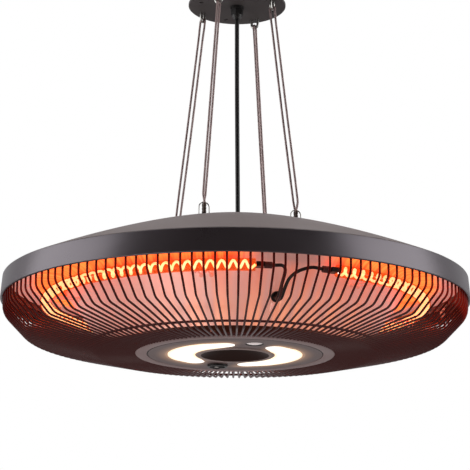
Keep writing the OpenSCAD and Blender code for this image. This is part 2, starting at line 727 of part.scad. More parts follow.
// Lamp face
bezel_in = plate_r + plate_gap;
bezel_back = hub_ring_z - seat;
module bezel_ring() {
    color("#6a6260") at_heater() rotate_extrude() polygon([
        [bezel_in, plate_face + 0.4], [bezel_in + 0.4, plate_face], [bezel_r - 1.4, plate_face],
        [bezel_r - 0.4, plate_face + 0.5], [bezel_r, plate_face + 1.4],
        [bezel_r, bezel_back], [bezel_in, bezel_back]]);
}

light_from = 44;
light_to = 134;
light_tips = [27.5, 150];
// The even part of a light's outline, grown by g
module light_sector(g) {
    intersection() {
        difference() {
            circle(r = light_out + g);
            circle(r = light_in - g);
        }
        polygon(concat([[0, 0]],
            [for (a = [0:4]) 2 * light_out * bearing(light_from + (light_to - light_from) * a / 4)]));
    }
}
// Where a line from p touches the circle of radius r round c, on its outer or inner side
function touch(p, c, r, outer) =
    let(v = p - c,
        t = [for (s = [-1, 1]) let(a = atan2(v.y, v.x) + s * acos(r / norm(v))) c + r * [cos(a), sin(a)]],
        far = norm(t[0]) > norm(t[1]) ? 0 : 1)
    t[outer ? far : 1 - far];
// Outline of one light, grown by g; a curved slot with narrowed, rounded ends
module light_outline(g) {
    tip_r = (light_out - light_in) / 2 - 5 + g;
    light_sector(g);
    for (end = [[light_from + 1, light_tips[0]], [light_to - 1, light_tips[1]]]) {
        tip = ((light_in + light_out) / 2 + 2.5) * bearing(end[1]);
        inner = (light_in - g + near) * bearing(end[0]);
        outer = (light_out + g - near) * bearing(end[0]);
        polygon([inner, outer, touch(outer, tip, 0.985 * tip_r, true),
            touch(inner, tip, 0.985 * tip_r, false)]);
        translate(tip) circle(r = tip_r);
    }
}

window_hole_r = window_r + 0.4;
window_back = plate_back + near + 1;
barrel_r = switch_r - 1.5;
dish_hole_r = dish_r + 4;
module face_plate() {
    color("#6f6765") at_heater() difference() {
        rotate_extrude() polygon([[0, plate_face], [plate_r - 0.4, plate_face], [plate_r, plate_face + 0.4],
            [plate_r, plate_back], [0, plate_back]]);
        for (m = [0, 1]) mirror([m, 0, 0]) translate([0, 0, -5]) linear_extrude(10) light_outline(0);
        translate([0, 0, -5]) cylinder(r = dish_hole_r, h = 10);
        translate([0, -window_at, -5]) cylinder(r = window_hole_r, h = 10);
        translate([0, switch_at, -5]) cylinder(r = barrel_r + near, h = 10);
    }
}

module centre_dish() {
    lip = plate_face - 1;
    wall = 1.4;
    function bowl(r) = lip + dish_depth * (1 - pow(r / dish_r, 2));
    color("#3b3230") at_heater() rotate_extrude() polygon(concat(
        [for (i = [0:12]) let(r = dish_r * i / 12) [r, bowl(r)]],
        [[dish_r + 1.2, lip - 0.3], [dish_r + 5.4, lip - 0.1], [dish_r + 6.2, lip + 0.5],
         [dish_r + 6.2, plate_face - 0.15], [dish_r + 2.6, plate_face - 0.15]],
        [for (i = [12:-1:0]) let(r = dish_r * i / 12) [r, bowl(r) + wall]]));
}

peg_r = 1.5;
cover_flange = 1;
light_board_z = 6;
module light_cover() {
    linear_extrude(plate_t + 0.4) light_outline(-seat);
    translate([0, 0, plate_t + 0.2 + near]) linear_extrude(cover_flange)
        difference() {
            light_outline(2);
            circle(r = dish_r + 4.2);
        }
    for (a = [50, 90, 130]) translate([for (v = bearing(a)) v * (light_in + light_out) / 2])
        cylinder(r = peg_r, h = light_board_z - near - plate_face + 0.2);
}
module light_cover_right() { color("white") at_heater() translate([0, 0, plate_face - 0.2]) light_cover(); }
module light_cover_left() {
    color("white") at_heater() translate([0, 0, plate_face - 0.2]) mirror([1, 0, 0]) light_cover();
}

module light_board() {
    linear_extrude(1.6) light_outline(-1);
    for (i = [0:8], r = [light_in + 8, light_out - 8])
        rotate([0, 0, light_from - 90 + (light_to - light_from) * i / 8]) translate([r - 1.6, -1.6, -0.8])
            cube([3.2, 3.2, 0.9]);
}
module light_board_right() { color("khaki") at_heater() translate([0, 0, light_board_z]) light_board(); }
module light_board_left() {
    color("khaki") at_heater() translate([0, 0, light_board_z]) mirror([1, 0, 0]) light_board();
}

// A domed lens that sits a little back in its hole, held by a rim behind the plate
module sensor_window() {
    edge = plate_face + 1.3;
    dome = 1.8;
    color("lavenderblush") at_heater() translate([0, -window_at, 0]) rotate_extrude() polygon(concat(
        [for (i = [0:8]) let(r = window_r * i / 8) [r, edge - dome * (1 - pow(r / window_r, 2))]],
        [[window_r, plate_back + near], [window_r + 2, plate_back + near], [window_r + 2, window_back],
         [0, window_back]]));
}

module sensor_board() {
    color("darkgreen") at_heater() translate([0, -window_at, window_back + near]) union() {
        translate([-10, -8, 0]) cube([20, 16, 1.6]);
        translate([-3, -2.5, 1.6]) cube([6, 5, 3.5]);
    }
}

// Switch, in its own frame with the rocker's pivot at the origin
well_r = barrel_r - 1.5;
rocker_r = well_r - 0.35;
pin_r = 1.2;
pin_clear = 0.05;
flange_face = plate_face - 3;
module switch_body() {
    color("#141414") at_heater() translate([0, switch_at, 0]) union() {
        difference() {
            union() {
                rotate_extrude() polygon([[0, flange_face], [switch_r - 0.8, flange_face],
                    [switch_r, flange_face + 0.8], [switch_r, plate_face - 0.15],
                    [barrel_r, plate_face - 0.15],
                    [barrel_r, 17], [0, 17]]);
            }
            translate([0, 0, flange_face - 1]) cylinder(r = well_r, h = 15.5 - flange_face + 1);
            rotate([0, 90, 0]) cylinder(r = pin_r + pin_clear, h = 2 * (barrel_r - 0.4), center = true);
        }
        for (x = [-6, 0, 6]) translate([x - 2.4, -0.4, 16.5]) cube([4.8, 0.8, 8]);
    }
}

module switch_rocker() {
    dip = -1.2;
    rise = rocker_r * tan(rocker_tilt);
    color("#1d1d1f") at_heater() translate([0, switch_at, 0]) rotate([-rocker_tilt, 0, 0]) union() {
        intersection() {
            sphere(r = rocker_r);
            rotate([90, 0, 90]) translate([0, 0, -rocker_r]) linear_extrude(2 * rocker_r)
                polygon([[-rocker_r, 3], [-rocker_r, dip - rise], [0, dip], [rocker_r, dip - rise],
                    [rocker_r, 3]]);
        }
        rotate([0, 90, 0]) cylinder(r = pin_r, h = 2 * (barrel_r - 0.7), center = true);
    }
}

ceiling_plate();
ceiling_gland();
rope_eyes();
rope_front_right();
rope_front_left();
rope_rear_right();
rope_rear_left();
crimp_sleeves();
wire_bails();
power_cord();
top_cap();
cap_grommet();
cap_screws();
top_shell();
rim_band();
hanger_posts();
post_screws();
support_cross();
heat_shield();
reflector();
reflector_screws();
inlet_gland();
guard_bars();
guard_top_ring();
guard_support_ring();
guard_hub_ring();
guard_brackets();
guard_screws();
hub_screws();
quartz_tube_right();
quartz_tube_left();
filament_right();
filament_left();
tube_end_caps();
ceramic_ends();
tube_holders();
lead_wires_front();
lead_wires_rear();
wire_grommets();
housing_bushings();
lamp_housing();
control_board();
board_standoffs();
terminal_block();
bezel_ring();
face_plate();
centre_dish();
light_cover_right();
light_cover_left();
light_board_right();
light_board_left();
sensor_window();
sensor_board();
switch_body();
switch_rocker();
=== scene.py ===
"""Looks of a hanging infrared patio heater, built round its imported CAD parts.

Lengths are in metres, in the CAD model's own frame: the origin is the middle of the ceiling
plate's upper face, +Z points up, and -Y is the front, where the sensor window is. Sizes in
the classes are in millimetres where their names end in _mm, as the CAD source gives them.
"""

import json
import logging
from collections.abc import Iterable, Sequence
from dataclasses import dataclass, field
from enum import Enum
from math import atan2, cos, pi, radians, sin, tan, tau

import bmesh
import bpy
from bmesh.types import BMesh
from bpy.types import Curve, ID, Material, Mesh, NodeSocket, Object, World
from mathutils import Matrix, Vector


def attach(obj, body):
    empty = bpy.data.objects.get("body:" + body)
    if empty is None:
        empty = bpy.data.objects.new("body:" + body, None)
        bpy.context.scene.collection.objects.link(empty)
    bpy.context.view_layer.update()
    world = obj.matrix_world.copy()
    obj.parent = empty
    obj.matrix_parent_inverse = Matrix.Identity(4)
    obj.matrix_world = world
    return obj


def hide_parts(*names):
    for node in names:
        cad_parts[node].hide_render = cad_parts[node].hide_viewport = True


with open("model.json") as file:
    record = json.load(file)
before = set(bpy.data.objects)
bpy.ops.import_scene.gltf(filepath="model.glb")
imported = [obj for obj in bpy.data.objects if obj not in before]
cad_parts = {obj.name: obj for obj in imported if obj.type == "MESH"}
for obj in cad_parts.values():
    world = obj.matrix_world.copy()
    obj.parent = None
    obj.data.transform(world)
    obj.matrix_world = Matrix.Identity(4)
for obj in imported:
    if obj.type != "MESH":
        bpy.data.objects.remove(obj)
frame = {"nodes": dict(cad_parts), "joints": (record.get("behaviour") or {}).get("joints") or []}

log = logging.getLogger("heater")

MM = 0.001
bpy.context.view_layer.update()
# The rocker's hinge lies in the plane of the lamp face, which heights are measured from
FACE_Z = frame["joints"][0]["pos_m"][2]
HEATER = "heater"
ROCKER = "rocker"

NOISE_SHIFT = (1.0137, 1.0171, 1.0113)
ROUGH_PATCHES = 0.16
COAT_ROUGHNESS = 0.25

Colour = tuple[float, float, float]
Corner = tuple[float, float, float]
Span = tuple[float, float]


def srgb(red: int, green: int, blue: int) -> Colour:
    """Turns a screen colour, 0 to 255, into the linear colour that shaders take, 0 to 1."""
    return tuple(
        (c / 255 / 12.92) if c < 11 else ((c / 255 + 0.055) / 1.055) ** 2.4
        for c in (red, green, blue)
    )


def scaled(colour: Colour, factor: float) -> Colour:
    """A colour made darker or lighter, up to full."""
    return tuple(min(1.0, c * factor) for c in colour)


# Shader graphs


class Socket:
    """A node's output, with arithmetic that adds Math nodes to its graph."""

    def __init__(self, graph: "Graph", output: NodeSocket) -> None:
        """Wraps an output socket of a graph."""
        self.graph = graph
        self.output = output

    def _math(self, operation: str, *values: "Socket | float") -> "Socket":
        """Adds a Math node over the values, in their order."""
        return self.graph.node("Math", {"operation": operation}, dict(enumerate(values)))

    def __add__(self, other: "Socket | float") -> "Socket":
        """Sum."""
        return self._math("ADD", self, other)

    __radd__ = __add__

    def __mul__(self, other: "Socket | float") -> "Socket":
        """Product."""
        return self._math("MULTIPLY", self, other)

    def __sub__(self, other: "Socket | float") -> "Socket":
        """Difference."""
        return self._math("SUBTRACT", self, other)

    def __rsub__(self, other: float) -> "Socket":
        """Difference from a number."""
        return self._math("SUBTRACT", other, self)

    def __truediv__(self, other: "Socket | float") -> "Socket":
        """Quotient."""
        return self._math("DIVIDE", self, other)

    def __pow__(self, other: float) -> "Socket":
        """Power."""
        return self._math("POWER", self, other)

    def size(self) -> "Socket":
        """Size without the sign."""
        return self._math("ABSOLUTE", self)

    def step(self, low: float, high: float) -> "Socket":
        """Rises smoothly from 0 at low to 1 at high."""
        return self.graph.node(
            "MapRange",
            {"interpolation_type": "SMOOTHSTEP"},
            {"Value": self, "From Min": low, "From Max": high},
        )


class Graph:
    """The node graph of a material or of the world."""

    def __init__(self, owner: Material | World) -> None:
        """Clears the owner's nodes."""
        owner.use_nodes = True
        self.owner = owner
        self.tree = owner.node_tree
        self.tree.nodes.clear()

    def node(
        self, kind: str, settings: dict | None = None, inputs: dict | None = None, out: int | str = 0
    ) -> Socket:
        """Adds a node.

        Args:
            kind: the node's type, without the words before it that all types share.
            settings: the node's own properties, which are set first.
            inputs: values or links of its sockets, by name or number.
            out: the output to hand back.

        Returns:
            That output.
        """
        made = self.tree.nodes.new("ShaderNode" + kind)
        for name, value in (settings or {}).items():
            setattr(made, name, value)
        for name, value in (inputs or {}).items():
            if isinstance(value, Socket):
                self.tree.links.new(value.output, made.inputs[name])
            elif isinstance(value, tuple) and made.inputs[name].type == "RGBA":
                made.inputs[name].default_value = (*value, 1.0)
            else:
                made.inputs[name].default_value = value
        return Socket(self, made.outputs[out]) if made.outputs else None

    def place(self) -> Socket:
        """Object coordinates."""
        return self.node("TexCoord", out="Object")

    def pair(self, across: Socket, up: Socket) -> Socket:
        """A place on a flat sheet."""
        return self.node("CombineXYZ", inputs={0: across, 1: up})

    def parts(self, place: Socket) -> list[Socket]:
        """X, Y and Z of a place."""
        split = self.tree.nodes.new("ShaderNodeSeparateXYZ")
        self.tree.links.new(place.output, split.inputs[0])
        return [Socket(self, output) for output in split.outputs]

    def radius(self) -> Socket:
        """Distance from the heater's axis."""
        x, y, _ = self.parts(self.place())
        return (x * x + y * y) ** 0.5

    def noise(
        self, size: float, detail: float = 3.0, roughness: float = 0.5, where: Socket | None = None
    ) -> Socket:
        """Noise from 0 to 1, shifted off the planes through the origin.

        Args:
            size: about how wide its patches are, in metres.
            detail: how many finer layers it has.
            roughness: how strong they are.
            where: the place it is read at, or None for object coordinates.

        Returns:
            The noise.
        """
        moved = self.node("VectorMath", {"operation": "ADD"}, {0: where or self.place(), 1: NOISE_SHIFT})
        return self.node(
            "TexNoise",
            {"normalize": True},
            {"Vector": moved, "Scale": 1 / size, "Detail": detail, "Roughness": roughness},
        )

    def mix(self, factor: Socket | float, low: Colour | Socket, high: Colour | Socket) -> Socket:
        """Colour between low and high."""
        mixed = self.tree.nodes.new("ShaderNodeMix")
        mixed.data_type = "RGBA"
        for slot, value in ((0, factor), (6, low), (7, high)):
            if isinstance(value, Socket):
                self.tree.links.new(value.output, mixed.inputs[slot])
            else:
                mixed.inputs[slot].default_value = (*value, 1.0) if slot else value
        return Socket(self, mixed.outputs[2])

    def bump(self, height: Socket, depth: float) -> Socket:
        """Normal from a height of 0 to 1 that stands for depth metres."""
        return self.node("Bump", inputs={"Height": height, "Distance": depth, "Strength": 1.0})

    def principled(self, inputs: dict) -> Socket:
        """Surface with these inputs of the Principled shader."""
        return self.node("BsdfPrincipled", inputs=inputs)

    def emission(self, colour: Colour | Socket, strength: float) -> Socket:
        """Surface that only shines."""
        return self.node("Emission", inputs={"Color": colour, "Strength": strength})

    def blend(self, factor: Socket, low: Socket, high: Socket) -> Socket:
        """Surface between low and high."""
        return self.node("MixShader", inputs={0: factor, 1: low, 2: high})

    def camera_ray(self) -> Socket:
        """1 for what the camera sees directly, and 0 for all other light."""
        return self.node("LightPath", out="Is Camera Ray")

    def ends(self, surface: Socket) -> None:
        """Links the surface to the output."""
        kind = "World" if isinstance(self.owner, World) else "Material"
        self.node(f"Output{kind}", inputs={"Surface": surface})


def above_face(z: Socket, span: Span) -> Socket:
    """Rises from 0 to 1 between two heights above the lamp face."""
    return z.step(*(FACE_Z + height for height in span))


@dataclass(frozen=True)
class Finish:
    """A finish of one colour, with the grain and wear of its process."""

    name: str
    colour: Colour
    roughness: float = 0.45
    metallic: float = 0.0
    grain: float = 0.0006
    depth: float = 0.00003
    patches: float = 0.06
    uneven: float = 0.12
    coat: float = 0.0
    specular: float = 0.5
    # Strength of a painted glow in the finish's own colour, for parts that are no lamp
    glow: float = 0.0

    def texture(self, graph: Graph, detail: float = 4.0) -> tuple[Socket, Socket]:
        """Broad patches and fine grain, each as noise."""
        return graph.noise(self.patches, detail), graph.noise(self.grain, 2.0)

    def tone(self, graph: Graph, patch: Socket, grain: Socket) -> Socket:
        """The colour, darker and lighter by broad patches and fine grain."""
        dark, light = (scaled(self.colour, 1 + change) for change in (-self.uneven, self.uneven))
        return graph.mix(patch * 0.6 + grain * 0.4, dark, light)

    def painted(self, graph: Graph, patch: Socket, grain: Socket, more: dict, fine: float = 0.0) -> Socket:
        """Builds a surface with this finish's roughness, gloss, relief and any painted glow.

        Args:
            graph: the material's graph.
            patch: broad noise, which changes the roughness.
            grain: fine noise, which makes the relief.
            more: the shader's other inputs.
            fine: how far the grain changes the roughness.

        Returns:
            The shader.
        """
        rough = self.roughness + (patch - 0.5) * ROUGH_PATCHES
        if fine:
            rough = rough + (grain - 0.5) * fine
        own = {
            "Roughness": rough,
            "Metallic": self.metallic,
            "Specular IOR Level": self.specular,
            "Coat Weight": self.coat,
            "Coat Roughness": COAT_ROUGHNESS,
            "Emission Color": self.colour,
            "Emission Strength": self.glow,
            "Normal": graph.bump(grain, self.depth),
        }
        return graph.principled({**own, **more})

    def shade(self, graph: Graph) -> Socket:
        """Builds the surface.

        Args:
            graph: the material's graph.

        Returns:
            The finished shader.
        """
        patch, grain = self.texture(graph)
        return self.painted(graph, patch, grain, {"Base Color": self.tone(graph, patch, grain)}, fine=0.12)

    def material(self) -> Material:
        """The finish as a material, made once."""
        known = bpy.data.materials.get(self.name + "_look")
        if known:
            return known
        made = bpy.data.materials.new(self.name + "_look")
        graph = Graph(made)
        graph.ends(self.shade(graph))
        return made


@dataclass(frozen=True)
class Glow(Finish):
    """White-hot wire: the camera sees one glow and the parts round it take another."""

    seen: float = 3.2
    cast: float = 11.0
    cast_colour: Colour = (1.0, 0.095, 0.008)
    cooler: Colour = (1.0, 0.86, 0.7)

    def shade(self, graph: Graph) -> Socket:
        """Builds the glow, with hotter and cooler stretches."""
        heat = graph.noise(self.patches, 2.0)
        cool = tuple(c * f for c, f in zip(self.colour, self.cooler))
        seen = graph.emission(graph.mix(heat.step(0.3, 0.6), cool, self.colour), self.seen)
        return graph.blend(graph.camera_ray(), graph.emission(self.cast_colour, self.cast), seen)


@dataclass(frozen=True)
class Quartz(Finish):
    """Ruby-tinted tube wall, hazy with the filament's light."""

    haze: float = 0.12
    fire: Colour = (1.0, 0.1, 0.012)

    def shade(self, graph: Graph) -> Socket:
        """Builds a thin tinted wall with a fiery haze and a gloss."""
        patch = graph.noise(0.02, 2.0)
        clear = graph.node("BsdfTransparent", inputs={"Color": self.colour})
        body = graph.blend(patch * 0.1 + self.haze, clear, graph.emission(self.fire, 1.0))
        gloss = graph.node("BsdfGlossy", inputs={"Roughness": 0.05})
        rim = graph.node("Fresnel", inputs={"IOR": 1.45})
        return graph.blend(rim * 0.3, body, gloss)


@dataclass(frozen=True)
class Opal(Finish):
    """Opal light cover, lit from behind and creamier towards its edges."""

    strength: float = 1.04
    warm: Colour = (1.0, 0.76, 0.46)
    middle: float = 0.0685
    half: float = 0.0175

    def shade(self, graph: Graph) -> Socket:
        """Builds a lit diffuser under a thin gloss."""
        patch = graph.noise(0.03, 2.0)
        edge = (graph.radius() - self.middle).size() / self.half + (patch - 0.5) * 0.1
        return graph.principled({
            "Base Color": self.colour,
            "Roughness": 0.3 + patch * 0.1,
            "Emission Color": graph.mix(edge.step(0.5, 1.0), self.colour, self.warm),
            "Emission Strength": self.strength,
        })


@dataclass(frozen=True)
class LitPaint(Finish):
    """Paint of the lamp face, with the two lights' spill painted round them as glow, and painted shadow at
    the bezel's groove and round the sensor hole.
    """

    # Colour of the lights' spill, painted on as glow
    warm: Colour = (0.3, 0.17, 0.09)
    shadow: Colour = (0.01, 0.008, 0.008)
    middle: float = 0.0685
    reach: Span = (0.012, 0.036)
    edge: Span = (0.0165, 0.0225)
    groove: Span = (0.1106, 0.1118)
    sensor: Span = (0.0114, 0.0122)
    sensor_y: float = 0.08
    between_x: Span = (0.012, 0.05)

    def shade(self, graph: Graph) -> Socket:
        """Builds the paint, the lights' painted spill over it and its painted shadow rings."""
        x, y, _ = graph.parts(graph.place())
        patch, grain = self.texture(graph)
        hole = (x * x + (y + self.sensor_y) * (y + self.sensor_y)) ** 0.5
        # Painted shadow: a dark ring in the groove under the bezel and one round the sensor window's hole
        shadow = graph.radius().step(*self.groove) + 1 - hole.step(*self.sensor)
        away = (graph.radius() - self.middle).size()
        # Painted light: the lights' spill as a warm glow round each, none across the middle
        spill = (1 - away.step(*self.reach)) * 0.7 + (1 - away.step(*self.edge)) * 1.2
        spill = spill * x.size().step(*self.between_x) * (patch * 0.4 + 0.8)
        return self.painted(graph, patch, grain, {
            "Base Color": graph.mix(shadow, self.tone(graph, patch, grain), self.shadow),
            "Emission Color": graph.mix(spill, (0.0, 0.0, 0.0), self.warm),
            "Emission Strength": 1.0,
        })


@dataclass(frozen=True)
class BowlWithPaintedShade(Finish):
    """Bowl painted dark as shade, with its lip in the paint's own lighter colour."""

    lip: Colour = (0.42, 0.33, 0.31)
    bowl: Span = (0.0433, 0.0439)

    def shade(self, graph: Graph) -> Socket:
        """Builds the bowl's painted shade and the lip's paint."""
        patch, grain = self.texture(graph)
        # Painted shade: the bowl takes the dark colour, the lip beyond it the paint's own
        bowl = graph.mix(patch, scaled(self.colour, 0.8), scaled(self.colour, 1.2))
        tone = graph.mix(graph.radius().step(*self.bowl), bowl, self.lip)
        return self.painted(graph, patch, grain, {"Base Color": tone})


@dataclass(frozen=True)
class TubeLitSheet(Finish):
    """Satin sheet with the tubes' light painted on it: painted glow and painted reflection streaks down its
    cone, and painted red light over the tubes.
    """

    # Colours of the tubes' light painted on the sheet as glow and reflection
    cone_glow: Colour = (0.52, 0.11, 0.055)
    foot_glow: Colour = (0.78, 0.24, 0.11)
    side_glow: Colour = (0.46, 0.15, 0.115)
    mauve: Colour = (0.4, 0.16, 0.13)
    bend_glow: Colour = (1.0, 0.34, 0.06)
    painted_red_light: Colour = (0.75, 0.03, 0.006)
    cone_z: Span = (0.015, 0.062)
    side_x: Span = (0.06, 0.2)
    bend_z: Span = (0.067, 0.077)
    painted_glow_z: Span = (0.074, 0.084)
    wing_r: Span = (0.25, 0.268)
    gap_x: Span = (0.03, 0.075)

    def shade(self, graph: Graph) -> Socket:
        """Builds streaked metal with the tubes' painted light on it."""
        x, y, z = graph.parts(graph.place())
        angle = graph.node("Math", {"operation": "ARCTAN2"}, {0: x, 1: y})
        unrolled = graph.pair(angle * 9.0, z * 3.0)
        streak = graph.noise(0.2, 3.0, 0.6, where=unrolled)
        fine = graph.noise(0.02, 2.0, where=unrolled)
        wide = graph.noise(0.2, 2.0, where=graph.pair(angle * 2.0, z * 0.5))
        painted_glow_noise = graph.noise(0.05, 2.0, where=graph.pair(angle * 2.4, z))
        away = x.size().step(*self.gap_x)
        bend = above_face(z, self.bend_z)
        # Mask of the wing right over the tubes, where their light is painted on
        tube = bend * (1 - graph.radius().step(*self.wing_r)) * away
        # Painted light on the cone: brighter at its foot and pinker towards the sides
        cone = graph.mix(above_face(z, self.cone_z), self.foot_glow, self.cone_glow)
        cone = graph.mix(x.size().step(*self.side_x), cone, self.side_glow)
        # Painted reflections: mauve streaks of the tubes' light down the cone
        cone = graph.mix(wide.step(0.4, 0.62) * 0.7 + streak.step(0.4, 0.6) * 0.25, cone, self.mauve)
        # Painted shade: a dimmer glow over the gap between the tubes' ends
        cone = graph.mix(bend * (1 - away), cone, scaled(self.mauve, 0.6))
        # Blend of the painted tube light from red to orange, brighter higher up; light, not the sheet's own
        # heat
        heat = above_face(z, self.painted_glow_z) * 0.55 + painted_glow_noise.step(0.4, 0.6) * 0.45
        sheet = graph.mix(fine, self.colour, scaled(self.colour, 0.8))
        # Over the tubes the sheet's colour as well as its glow is painted red light
        return graph.principled({
            "Base Color": graph.mix(tube * 0.95, sheet, self.painted_red_light),
            "Roughness": self.roughness + streak * 0.12 + tube * 0.4,
            "Metallic": (1 - tube) * self.metallic,
            "Specular IOR Level": 0.25,
            "Normal": graph.bump(streak * 0.7 + fine * 0.3, 0.0003),
            "Emission Color": graph.mix(tube, cone, graph.mix(heat, self.painted_red_light, self.bend_glow)),
            "Emission Strength": 1.0,
        })


@dataclass(frozen=True)
class PaleFloor(Finish):
    """Floor that the camera sees evenly lit, with no more light on the heater."""

    level: float = 0.62

    def shade(self, graph: Graph) -> Socket:
        """Builds the floor for the camera and the floor for everything else."""
        tone = graph.mix(graph.noise(1.5, 2.0), scaled(self.colour, 1 - self.uneven), self.colour)
        matt = {"Base Color": tone, "Roughness": self.roughness, "Specular IOR Level": 0.2}
        lit = graph.principled({**matt, "Emission Color": tone, "Emission Strength": self.level})
        return graph.blend(graph.camera_ray(), graph.principled(matt), lit)


@dataclass(frozen=True)
class TubeLitEnamel(Finish):
    """Guard enamel with the tubes' red light painted on it as glow, wine red where it passes the tubes."""

    # Colours of the tubes' red light painted on the enamel as glow: high up, low down, and on the front bars
    # beside the tubes
    warm: Colour = (0.032, 0.0015, 0.001)
    low: Colour = (0.028, 0.009, 0.0085)
    near: Span = (0.012, 0.045)
    # Painted red light of the tubes, not heat, on the front bars beside them
    hot: Colour = (0.13, 0.005, 0.0025)
    gap_x: Span = (0.045, 0.075)
    flank_y: Span = (-0.13, 0.0)
    hot_from: Span = (0.04, 0.046)
    hot_to: Span = (0.056, 0.064)
    sheen: float = 0.35

    def shade(self, graph: Graph) -> Socket:
        """Builds the enamel with the tubes' red light painted in as glow."""
        x, y, z = graph.parts(graph.place())
        patch, grain = self.texture(graph, 3.0)
        # Mask of the bars up at the tubes' height
        tube = above_face(z, self.near)
        # Mask where the tubes' painted red light is strongest: the front bars beside them
        lit = above_face(z, self.hot_from) * (1 - above_face(z, self.hot_to))
        lit = lit * x.size().step(*self.gap_x) * (1 - y.step(*self.flank_y))
        return self.painted(graph, patch, grain, {
            "Base Color": self.tone(graph, patch, grain),
            "Coat Weight": (1 - tube) * self.sheen,
            "Emission Color": graph.mix(lit, graph.mix(tube, self.low, self.warm), self.hot),
            "Emission Strength": 1.0,
        })


class Look(Enum):
    """Every finish of the heater."""

    DOME = Finish("dome_paint", srgb(118, 103, 101), 0.5, specular=0.35)
    BAND = Finish("band_paint", srgb(104, 99, 104), 0.32, 0.7, depth=0.00002)
    FACE = LitPaint("face_paint", srgb(124, 103, 101), 0.42, specular=0.3)
    BEZEL = Finish("bezel_paint", srgb(156, 127, 125), 0.4, specular=0.4)
    # The dish's dark colour is painted shade in its bowl
    DISH = BowlWithPaintedShade("dish_paint", srgb(50, 29, 24), 0.5, specular=0.15)
    # The red in the enamel's colour stands partly for the tubes' light; its darkness is the enamel's own
    ENAMEL = TubeLitEnamel("guard_enamel", srgb(34, 8, 7), 0.3, depth=0.00002, grain=0.0004, specular=0.06)
    HOUSING = Finish("housing_paint", srgb(46, 40, 40), 0.5)
    GRAPHITE = Finish("graphite_paint", srgb(96, 92, 92), 0.6, depth=0.000005, grain=0.002, specular=0.25)
    CAP = Finish("dark_cap", srgb(30, 27, 29), 0.75, grain=0.0008, specular=0.2)
    STEEL = Finish("zinc_steel", srgb(196, 196, 192), 0.3, 1.0, uneven=0.08)
    BAIL = Finish("bail_steel", srgb(214, 212, 208), 0.26, 1.0, uneven=0.06)
    ROPE = Finish("wire_rope", srgb(178, 158, 156), 0.36, 0.8, grain=0.0003)
    SLEEVE = Finish("dark_sleeve", srgb(74, 60, 54), 0.42, 0.6, grain=0.0005)
    GALVANISED = Finish("galvanised", srgb(178, 182, 184), 0.4, 1.0, grain=0.004, uneven=0.16)
    BRIGHT = Finish("bright_sheet", srgb(206, 206, 208), 0.3, 1.0)
    CAST = Finish("cast_alloy", srgb(176, 176, 178), 0.5, 1.0, depth=0.0001)
    # The holders' salmon colour and their glow are painted light of the tubes, as on the reflector
    HOLDER = TubeLitSheet("holder_steel", srgb(214, 140, 118), 0.36, 0.6)
    CORD = Finish("cord_rubber", srgb(18, 18, 19), 0.4, grain=0.0005)
    SILICONE = Finish("silicone_sleeve", srgb(30, 24, 24), 0.5)
    NYLON = Finish("black_nylon", srgb(36, 35, 35), 0.45)
    ENDS = Finish("cap_enamel", srgb(24, 22, 22), 0.4)
    CERAMIC = Finish("ceramic", srgb(96, 44, 40), 0.6, grain=0.001, depth=0.00008)
    IVORY = Finish("ivory_nylon", srgb(214, 206, 182), 0.4)
    BOARD = Finish("board_green", srgb(40, 92, 56), 0.35, uneven=0.3, patches=0.01)
    LIGHT_BOARD = Finish("light_board", srgb(232, 230, 220), 0.4)
    SWITCH = Finish("switch_plastic", srgb(26, 24, 24), 0.35, grain=0.0005)
    ROCKER = Finish("rocker_plastic", srgb(30, 28, 29), 0.22)
    # The marks' glow is painted light: they are no lamp
    MARK = Finish("mark_paint", srgb(236, 230, 226), 0.35, glow=0.25)
    # The window's glow is painted light: the lens is no lamp
    WINDOW = Finish("pale_window", srgb(240, 228, 226), 0.26, uneven=0.04, coat=0.5, glow=0.36)
    # The sheet's pinkish tint and its glow are painted light of the tubes
    REFLECTOR = TubeLitSheet("reflector_sheet", srgb(226, 200, 194), 0.36, 0.6)
    FILAMENT = Glow("filament_wire", (1.0, 0.96, 0.9), patches=0.012)
    QUARTZ = Quartz("quartz", (1.0, 0.74, 0.5))
    OPAL = Opal("opal", (1.0, 0.96, 0.88))

    def material(self) -> Material:
        """This finish as a material."""
        return self.value.material()


# Meshes and pieces


def linked(name: str, data: ID) -> Object:
    """Puts data in the scene as an object."""
    made = bpy.data.objects.new(name, data)
    bpy.context.scene.collection.objects.link(made)
    return made


def final_mesh(item: Object, name: str) -> Mesh:
    """An object's mesh after its modifiers, under a new name."""
    mesh = bpy.data.meshes.new_from_object(item.evaluated_get(bpy.context.evaluated_depsgraph_get()))
    mesh.name = name
    return mesh


def add_piece(made: ID, name: str, look: Look, body: str = HEATER, stands_for: Sequence[str] = ()) -> Object:
    """Puts a mesh or curve in the scene as a piece of the heater.

    Args:
        made: the mesh or curve data.
        name: the piece's name.
        look: its finish.
        body: the body that it rides on.
        stands_for: the CAD nodes that it replaces.

    Returns:
        The piece.
    """
    piece = linked(name, made)
    made.materials.clear()
    made.materials.append(look.material())
    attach(piece, body)
    if stands_for:
        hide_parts(*stands_for)
    log.info("%s rides on %s", name, body)
    return piece


def as_mesh(bm: BMesh, name: str, sharp_degrees: float = 35.0) -> Mesh:
    """Writes a bmesh out, smooth but for its sharp edges.

    Args:
        bm: the bmesh, which is freed.
        name: the mesh's name.
        sharp_degrees: the angle past which an edge stays sharp.

    Returns:
        The mesh.
    """
    bmesh.ops.remove_doubles(bm, verts=bm.verts, dist=1e-7)
    bmesh.ops.recalc_face_normals(bm, faces=bm.faces)
    for face in bm.faces:
        face.smooth = True
    for edge in bm.edges:
        if len(edge.link_faces) == 2:
            edge.smooth = edge.calc_face_angle() < radians(sharp_degrees)
    mesh = bpy.data.meshes.new(name)
    bm.to_mesh(mesh)
    bm.free()
    return mesh


